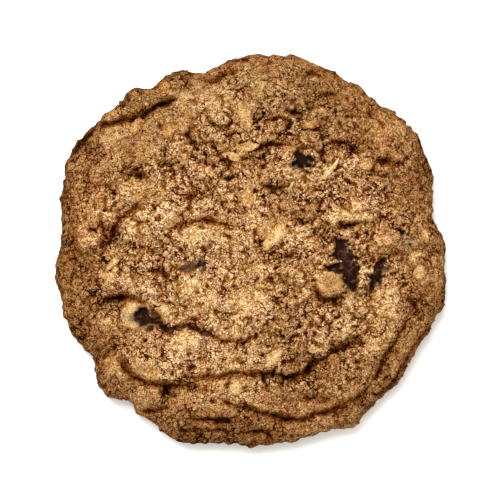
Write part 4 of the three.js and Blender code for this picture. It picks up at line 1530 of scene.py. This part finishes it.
@dataclass(frozen=True)
class Wiring:
    """Makes and joins the nodes of one material or group."""

    tree: bpy.types.NodeTree

    def add(self, kind: str, **settings: object) -> bpy.types.Node:
        """Makes a node.

        Args:
            kind: Which node it is.
            settings: Its own settings, by name.

        Returns:
            The new node.
        """
        node = self.tree.nodes.new(kind)
        for name, value in settings.items():
            setattr(node, name, value)
        return node

    def feed(self, node: bpy.types.Node, **values: object) -> None:
        """Links sockets, or sets plain values, at the node's inputs of those names."""
        for name, value in values.items():
            self.fill(node.inputs[name.replace("_", " ")], value)

    def fed(self, node: bpy.types.Node, output: str, **values: object) -> Socket:
        """Output of a node whose inputs of those names are linked or set."""
        self.feed(node, **values)
        return node.outputs[output]

    def filled(self, node: bpy.types.Node, *values: object) -> Socket:
        """Fills a node's inputs in turn.

        Args:
            node: The node.
            values: Sockets to link and plain values to set.

        Returns:
            The node's first output.
        """
        for target, value in zip(node.inputs, values):
            self.fill(target, value)
        return node.outputs[0]

    def fill(self, target: Socket, value: object) -> None:
        """Gives one input what it needs.

        Args:
            target: The input.
            value: Socket to link to it, or plain value to set there.
        """
        if isinstance(value, Socket):
            self.tree.links.new(value, target)
        else:
            target.default_value = value

    def place(self) -> Socket:
        """Where on the piece a point of its surface is."""
        return self.add("ShaderNodeTexCoord").outputs["Object"]

    def layer(self, layer: Layer) -> Socket:
        """What the mesh keeps for each point under a layer."""
        return self.add("ShaderNodeAttribute", attribute_name=layer.value).outputs["Fac"]

    def maths(self, operation: str, *values: object) -> Socket:
        """Result of a sum or comparison of sockets and plain numbers."""
        return self.filled(self.add("ShaderNodeMath", operation=operation), *values)

    def mix(self, share: object, first: object, second: object, blend: str = "MIX") -> Socket:
        """Mix of two colours.

        Args:
            share: How much of the second there is.
            first: Colour or socket.
            second: Colour or socket.
            blend: How they are put together.

        Returns:
            The mixed colour.
        """
        node = self.add("ShaderNodeMix", data_type="RGBA", blend_type=blend)
        share_in, first_in, second_in = (node.inputs[place] for place in (0, 6, 7))
        self.fill(share_in, share)
        self.fill(first_in, first)
        self.fill(second_in, second)
        return node.outputs[2]

    def tinted(self, share: object, colour: Socket, tint: object) -> Socket:
        """Colour seen through a tint, by a share."""
        return self.mix(share, colour, self.mix(1.0, colour, tint, "MULTIPLY"))

    def deepen(self, colour: Socket, depth: Socket) -> Socket:
        """Colour as it is after light has met it more than once: darker and stronger with depth."""
        return self.fed(self.add("ShaderNodeGamma"), "Color", Color=colour, Gamma=depth)

    def noise(self, place: Socket, noise: Noise, output: str = "Fac") -> Socket:
        """Random values around 0.5, one for each place, or three as a colour."""
        values = {"Scale": noise.scale, "Detail": noise.detail, "Roughness": noise.strength}
        return self.fed(self.add("ShaderNodeTexNoise"), output, Vector=place, **values)

    def warp(self, place: Socket, noise: Noise, amount: float) -> Socket:
        """Places shifted at random by up to about half the amount."""
        node = self.add("ShaderNodeVectorMath", operation="MULTIPLY_ADD")
        return self.filled(node, self.noise(place, noise, "Color"), (amount, amount, amount), place)

    def seams(self, place: Socket, scale: float) -> Socket:
        """Distance to the seam between irregular cells, as a share of the cell's size."""
        node = self.add("ShaderNodeTexVoronoi", feature="DISTANCE_TO_EDGE")
        return self.fed(node, "Distance", Vector=place, Scale=scale)

    def spread(self, value: Socket, low: float, high: float) -> Socket:
        """Smooth rise from 0 at the low value to 1 at the high one."""
        node = self.add("ShaderNodeMapRange", interpolation_type="SMOOTHSTEP")
        return self.fed(node, "Result", Value=value, From_Min=low, From_Max=high)

    def bump(self, height: Socket, depth: float) -> Socket:
        """Direction of a surface whose height goes up and down by a depth in millimetres."""
        node = self.add("ShaderNodeBump")
        return self.fed(node, "Normal", Strength=1.0, Distance=depth * MILLIMETRE, Height=height)


@dataclass(frozen=True)
class BakedCrumb:
    """Node group for baked crumb: browns by how toasted it is, with painted shade in its hollows, pits and
    cracks, painted light on the cracks' lips and painted glints, and grainy.
    """

    name: str = "baked crumb"
    values: tuple[str, ...] = ("Toast", "Shade", "Grain", "Specks", "Drift", "Dust", "Glints", "Cracks")
    tints: tuple[str, ...] = ("Pale", "Golden", "Brown", "Dark", "Mauve", "Olive")
    grain: Noise = Noise(1400.0, 3, 0.65)
    fleck: Noise = Noise(620.0, 2)
    fleck_share: float = 0.6
    browning: tuple[tuple[str, Span], ...] = (
        ("Golden", (0.0, 0.4)), ("Brown", (0.35, 0.72)), ("Dark", (0.68, 1.05))
    )
    drift: Noise = Noise(210.0, 3, 0.6)
    drifting: tuple[tuple[str, Span], ...] = (("Mauve", (0.5, 0.66)), ("Olive", (0.5, 0.34)))
    speck_levels: Span = (0.46, 0.36)
    pit: Noise = Noise(1700.0, 1)
    pit_levels: Span = (0.36, 0.28)
    dust: Noise = Noise(3600.0, 1)
    dust_level: float = 0.46
    dust_rise: float = 0.015
    glint: Noise = Noise(2600.0, 1)
    glint_levels: Span = (0.54, 0.68)
    glint_shades: Span = (0.5, 0.1)
    even_depth: float = 1.045
    hollow_depth: float = 0.9
    crack_depth: float = 2.1
    lip_depth: float = 0.15
    crack_drop: float = 1.2
    rough_grain: float = 0.3
    even_rough: float = 0.82
    warp: Noise = Noise(420.0, 2)
    warp_amount: float = 0.0022
    fray: Noise = Noise(1800.0, 2)
    fray_amount: float = 0.0006
    seams: tuple[Seam, ...] = (
        Seam(430.0, 0.075, Noise(560.0, 2, 0.6), 0.46, 1.0),
        Seam(950.0, 0.085, Noise(850.0, 2, 0.6), 0.48, 0.9),
        Seam(2000.0, 0.1, Noise(1000.0, 2, 0.6), 0.5, 0.6),
    )
    patch_rise: float = 0.08
    seam_core: float = 0.5
    lip_reach: Span = (2.6, 1.3)
    zone: Noise = Noise(190.0, 2)
    zone_levels: Span = (0.4, 0.6)
    least_cracked: float = 0.4

    def group(self) -> bpy.types.NodeTree:
        """The group, built at its first use.

        Returns:
            Node tree with the values and tints as inputs, and the outputs Color, Height and Rough.
        """
        made = bpy.data.node_groups.get(self.name)
        if made:
            return made
        tree = bpy.data.node_groups.new(self.name, "ShaderNodeTree")
        for titles, kind in ((self.values, "NodeSocketFloat"), (self.tints, "NodeSocketColor")):
            for title in titles:
                tree.interface.new_socket(title, in_out="INPUT", socket_type=kind)
        tree.interface.new_socket("Color", in_out="OUTPUT", socket_type="NodeSocketColor")
        for title in ("Height", "Rough"):
            tree.interface.new_socket(title, in_out="OUTPUT", socket_type="NodeSocketFloat")
        wiring = Wiring(tree)
        given = wiring.add("NodeGroupInput").outputs
        place = wiring.place()
        grain = wiring.noise(place, self.grain)
        crack, lip = (
            wiring.maths("MULTIPLY", part, given["Cracks"]) for part in self.cracks(wiring, place)
        )
        depth = self.depth(wiring, given, place, grain, (crack, lip))
        colour = self.colour(wiring, given, place, grain)
        speckle = wiring.maths("SUBTRACT", grain, 0.5)
        wiring.feed(
            wiring.add("NodeGroupOutput"),
            Color=wiring.deepen(colour, depth),
            Height=wiring.maths("MULTIPLY_ADD", crack, -self.crack_drop, grain),
            Rough=wiring.maths("MULTIPLY_ADD", speckle, self.rough_grain, self.even_rough),
        )
        return tree

    def colour(
        self, wiring: Wiring, given: bpy.types.NodeOutputs, place: Socket, grain: Socket
    ) -> Socket:
        """Colour of the dough as it is browned, with broad patches of other tints.

        Args:
            wiring: The group's nodes.
            given: The group's inputs.
            place: Where on the surface it is read.
            grain: Fine noise of the surface.

        Returns:
            The colour, before any shade.
        """
        speckle = wiring.maths("SUBTRACT", grain, 0.5)
        blotch = wiring.maths("SUBTRACT", wiring.noise(place, self.fleck), 0.5)
        both = wiring.maths("MULTIPLY_ADD", blotch, self.fleck_share, speckle)
        toast = wiring.maths("MULTIPLY_ADD", both, given["Grain"], given["Toast"])
        colour = given["Pale"]
        for title, levels in self.browning:
            colour = wiring.mix(wiring.spread(toast, *levels), colour, given[title])
        drift = wiring.noise(place, self.drift)
        for title, levels in self.drifting:
            share = wiring.maths("MULTIPLY", wiring.spread(drift, *levels), given["Drift"])
            colour = wiring.tinted(share, colour, given[title])
        return colour

    def depth(
        self,
        wiring: Wiring,
        given: bpy.types.NodeOutputs,
        place: Socket,
        grain: Socket,
        crack_and_lip: tuple[Socket, Socket],
    ) -> Socket:
        """How far each place is darkened: painted shade in hollows, pits and cracks, less the painted light
        on the cracks' lips and the painted glints, with fine dust.

        Args:
            wiring: The group's nodes.
            given: The group's inputs.
            place: Where on the surface it is read.
            grain: Fine noise of the surface.
            crack_and_lip: How far each place is in a crack, and on the lip beside one.

        Returns:
            The darkening, about 1 on what stands out.
        """
        crack, lip = crack_and_lip
        # Painted shade in small pits and specks.
        pit = wiring.spread(wiring.noise(place, self.pit), *self.pit_levels)
        speck = wiring.maths("MAXIMUM", wiring.spread(grain, *self.speck_levels), pit)
        speck = wiring.maths("MULTIPLY", speck, given["Specks"])
        shade = wiring.maths("MAXIMUM", given["Shade"], speck)
        depth = wiring.maths("MULTIPLY_ADD", shade, self.hollow_depth, self.even_depth)
        # Painted shade in the cracks, and painted light on their lips.
        depth = wiring.maths("MULTIPLY_ADD", crack, self.crack_depth, depth)
        depth = wiring.maths("MULTIPLY_ADD", lip, -self.lip_depth, depth)
        # Painted glints: small highlights, fewer where shade is painted.
        glint = wiring.spread(wiring.noise(place, self.glint), *self.glint_levels)
        glint = wiring.maths("MULTIPLY", glint, wiring.spread(shade, *self.glint_shades))
        depth = wiring.maths("SUBTRACT", depth, wiring.maths("MULTIPLY", glint, given["Glints"]))
        dust = wiring.maths("SUBTRACT", self.dust_level, wiring.noise(place, self.dust))
        dust = wiring.maths("MAXIMUM", dust, -self.dust_rise)
        return wiring.maths("MULTIPLY_ADD", dust, given["Dust"], depth)

    def cracks(self, wiring: Wiring, place: Socket) -> tuple[Socket, Socket]:
        """Thin broken cracks between clods, and finer ones between crumbs, which carry painted shade, with
        painted light on the lip beside each.

        Args:
            wiring: The group's nodes.
            place: Where on the surface they are read.

        Returns:
            How far each place is in a crack, and how far it is on the lip beside one, from 0 to 1.
        """
        bent = wiring.warp(place, self.warp, self.warp_amount)
        bent = wiring.warp(bent, self.fray, self.fray_amount)
        crack, lip = 0.0, 0.0
        for seam in self.seams:
            away = wiring.seams(bent, seam.scale)
            patch = wiring.noise(place, seam.patch)
            patch = wiring.spread(patch, seam.patch_level, seam.patch_level + self.patch_rise)
            patch = wiring.maths("MULTIPLY", patch, seam.share)
            line = wiring.spread(away, seam.width, self.seam_core * seam.width)
            beside = wiring.spread(away, *(reach * seam.width for reach in self.lip_reach))
            crack = wiring.maths("MAXIMUM", wiring.maths("MULTIPLY", line, patch), crack)
            lip = wiring.maths("MAXIMUM", wiring.maths("MULTIPLY", beside, patch), lip)
        zone = wiring.spread(wiring.noise(place, self.zone), *self.zone_levels)
        zone = wiring.maths("MULTIPLY_ADD", zone, 1 - self.least_cracked, self.least_cracked)
        crack = wiring.maths("MULTIPLY", crack, zone)
        return crack, wiring.maths("SUBTRACT", wiring.maths("MULTIPLY", lip, zone), crack)


def new_material(name: str) -> tuple[Material, bpy.types.Node, Wiring]:
    """Makes a plain material.

    Args:
        name: Its name.

    Returns:
        The material, its shader and the means to wire it.
    """
    material = bpy.data.materials.new(name)
    material.use_nodes = True
    return material, material.node_tree.nodes["Principled BSDF"], Wiring(material.node_tree)


@dataclass(frozen=True)
class CrumbFinish:
    """Baked dough, crumb or oat: a matt, grainy surface in four steps of browning."""

    name: str
    pale: Tint
    golden: Tint
    brown: Tint
    dark: Tint
    grain: float = 0.8
    specks: float = 0.12
    drift: float = 0.55
    dust: float = 10.5
    glints: float = 0.42
    cracks: float = 1.0
    bare_specks: float = 0.5
    bare_dust: float = 0.4
    bare_glints: float = 0.8
    bare_cracks: float = 1.0
    mauve: Tint = Tint(232, 207, 202)
    olive: Tint = Tint(240, 241, 216)
    bump_depth: float = 0.25
    cocoa: bool = False
    # Tint of the painted sheen at the back, also used for the grey films over the chips.
    sheen_greying: Tint = Tint(224, 240, 250)
    veil: Tint = Tint(92, 70, 54)
    bitter: Tint = Tint(36, 20, 12)
    film_levels: Span = (0.6, 1.0)

    def material(self) -> Material:
        """Wires the shared crumb, and the chocolate on it where there is some.

        Returns:
            The finish as a material.
        """
        material, shader, wiring = new_material(self.name)
        crumb = wiring.add("ShaderNodeGroup", node_tree=BakedCrumb().group())
        for title in BakedCrumb.tints:
            crumb.inputs[title].default_value = getattr(self, title.lower()).linear()
        wiring.feed(
            crumb,
            Toast=wiring.layer(Layer.TOAST),
            Shade=wiring.layer(Layer.SHADE),
            Grain=self.grain,
            Drift=self.drift,
        )
        bare = wiring.layer(Layer.BARE)
        for title, amount, lost in (
            ("Specks", self.specks, self.bare_specks),
            ("Dust", self.dust, self.bare_dust),
            ("Glints", self.glints, self.bare_glints),
            ("Cracks", self.cracks, self.bare_cracks),
        ):
            wiring.fill(crumb.inputs[title], wiring.maths("MULTIPLY_ADD", bare, -lost * amount, amount))
        colour = crumb.outputs["Color"]
        if self.cocoa:
            colour = self.smeared(wiring, colour)
        wiring.feed(
            shader,
            Base_Color=colour,
            Roughness=crumb.outputs["Rough"],
            Normal=wiring.bump(crumb.outputs["Height"], self.bump_depth),
            Specular_IOR_Level=0.0,
        )
        return material

    def smeared(self, wiring: Wiring, colour: Socket) -> Socket:
        """Adds the painted sheen that greys the back and the grey of the films over the chips, and the
        chocolate on the dough or showing through it.

        Args:
            wiring: The material's nodes.
            colour: Colour of the dough alone.

        Returns:
            Colour of the dough with both.
        """
        film = wiring.layer(Layer.FILM)
        # Painted sheen at the back, and the grey films over the chips, both by one tint.
        colour = wiring.tinted(wiring.layer(Layer.PAINTED_SHEEN_AND_FILM_GREY), colour, self.sheen_greying.linear())
        colour = wiring.mix(film, colour, self.veil.linear())
        seen = wiring.spread(film, *self.film_levels)
        chocolate = wiring.maths("MAXIMUM", wiring.layer(Layer.COCOA), seen)
        return wiring.mix(chocolate, colour, self.bitter.linear())


@dataclass(frozen=True)
class ChocolateFinish:
    """Dark chocolate: softly glossy, with dull greyish bloom where it has melted and set."""

    name: str = "dark_chocolate"
    dark: Tint = Tint(30, 11, 4)
    bloom: Tint = Tint(96, 58, 44)
    bloom_noise: Noise = Noise(900.0, 5, 0.7)
    bloom_levels: Span = (0.46, 0.72)
    least_rough: float = 0.55
    bloom_rough: float = 0.3
    gloss: float = 0.05
    bump_depth: float = 0.8

    def material(self) -> Material:
        """Wires the chocolate and its bloom.

        Returns:
            The finish as a material.
        """
        material, shader, wiring = new_material(self.name)
        noise = wiring.noise(wiring.place(), self.bloom_noise)
        bright = wiring.maths("SUBTRACT", 1.0, wiring.layer(Layer.SHADE))
        bloom = wiring.maths("MULTIPLY", wiring.spread(noise, *self.bloom_levels), bright)
        wiring.feed(
            shader,
            Base_Color=wiring.mix(bloom, self.dark.linear(), self.bloom.linear()),
            Roughness=wiring.maths("MULTIPLY_ADD", bloom, self.bloom_rough, self.least_rough),
            Normal=wiring.bump(noise, self.bump_depth),
            Specular_IOR_Level=self.gloss,
        )
        return material


@dataclass
class Studio:
    """Pale floor, soft light from the far left, and a camera that looks down on the top.

    The floor and the light are in metres, and the camera's view is in millimetres.
    """

    elevation: float = 89.0
    lens: float = 180.0
    sensor: float = 36.0
    view_width: float = 114.6
    aim: tuple[float, float, float] = (0.0, 0.0, 6.0)
    floor_side: float = 6.0
    floor_grey: float = 0.93
    key_power: float = 7.6
    key_side: float = 0.5
    key_place: tuple[float, float, float] = (-0.15, 0.36, 0.55)
    fill_strength: float = 1.06
    fill_tint: tuple[float, float, float, float] = (1.0, 0.97, 0.92, 1.0)

    def build(self) -> None:
        """Makes the floor, the lights and the camera."""
        self.add_floor()
        self.add_light()
        self.add_camera()
        bpy.context.scene.view_settings.view_transform = "Standard"

    def add_floor(self) -> None:
        """A wide plain floor under the cookie."""
        bpy.ops.mesh.primitive_plane_add(size=self.floor_side)
        floor = bpy.context.object
        floor.name = "floor"
        material, shader, wiring = new_material("pale_floor")
        grey = (self.floor_grey, self.floor_grey, self.floor_grey, 1.0)
        wiring.feed(shader, Base_Color=grey, Roughness=1.0, Specular_IOR_Level=0.0)
        floor.data.materials.append(material)

    def add_light(self) -> None:
        """One large soft light and an even fill."""
        lamp = bpy.data.lights.new("key", "AREA")
        lamp.size = self.key_side
        lamp.energy = self.key_power
        key = bpy.data.objects.new("key", lamp)
        key.location = self.key_place
        key.rotation_euler = (-Vector(self.key_place)).to_track_quat("-Z", "Y").to_euler()
        bpy.context.scene.collection.objects.link(key)
        world = bpy.data.worlds.new("studio")
        world.use_nodes = True
        background = world.node_tree.nodes["Background"]
        background.inputs["Color"].default_value = self.fill_tint
        background.inputs["Strength"].default_value = self.fill_strength
        bpy.context.scene.world = world

    def add_camera(self) -> None:
        """A long lens, nearly overhead and a little towards the front."""
        data = bpy.data.cameras.new("camera")
        data.lens = self.lens
        data.sensor_width = self.sensor
        camera = bpy.data.objects.new("camera", data)
        distance = self.view_width * self.lens / self.sensor
        lean = math.radians(self.elevation)
        back = Vector((0, -math.cos(lean), math.sin(lean)))
        camera.location = (Vector(self.aim) + back * distance) * MILLIMETRE
        camera.rotation_euler = (-back).to_track_quat("-Z", "Y").to_euler()
        data.clip_start = MILLIMETRE
        bpy.context.scene.collection.objects.link(camera)
        bpy.context.scene.camera = camera


DOUGH_FINISH = CrumbFinish(
    name="baked_dough",
    pale=Tint(197, 165, 120),
    golden=Tint(168, 130, 86),
    brown=Tint(131, 92, 53),
    dark=Tint(79, 48, 18),
    cocoa=True,
)
CRUMB_FINISH = CrumbFinish(
    name="loose_crumb",
    pale=Tint(190, 162, 123),
    golden=Tint(161, 125, 82),
    brown=Tint(126, 86, 45),
    dark=Tint(76, 44, 12),
    specks=0.3,
    cracks=0.0,
)
OAT_FINISH = CrumbFinish(
    name="rolled_oat",
    pale=Tint(199, 172, 128),
    golden=Tint(171, 136, 89),
    brown=Tint(136, 96, 52),
    dark=Tint(87, 56, 23),
    grain=1.1,
    specks=0.3,
    drift=0.25,
    cracks=0.15,
    dust=5.5,
)


def main() -> None:
    """Builds every piece in order and reports it."""
    logging.basicConfig(level=logging.INFO, format="%(message)s")
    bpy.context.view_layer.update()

    crust = Crust()
    dough = crust.build().piece("crust", DOUGH_FINISH.material())
    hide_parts("dough")

    flakes = OatFlakes().build(crust).piece("oat_flakes", OAT_FINISH.material())

    crumb_material = CRUMB_FINISH.material()
    for crumbs in (
        Crumbs(Grade.COARSE, 500, smallest=0.6, largest=1.2, facets=Facets.MANY, seed=41, rim_share=0.15),
        Crumbs(Grade.FINE, 1200, smallest=0.4, largest=0.75, facets=Facets.MANY, seed=43),
        Crumbs(Grade.BRAN, 2500, smallest=0.25, largest=0.5, facets=Facets.FEW, seed=47, spread=0.2),
    ):
        piece = crumbs.build(crust).piece(crumbs.grade.value, crumb_material, smooth=False)

    chips = ChocolateChips()
    chocolate = ChocolateFinish().material()
    for chip in CHIPS:
        piece = chips.build(chip).piece(f"chip_{chip.number}", chocolate)
        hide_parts(chip.node)

    Studio().build()


if __name__ == "__main__":
    main()
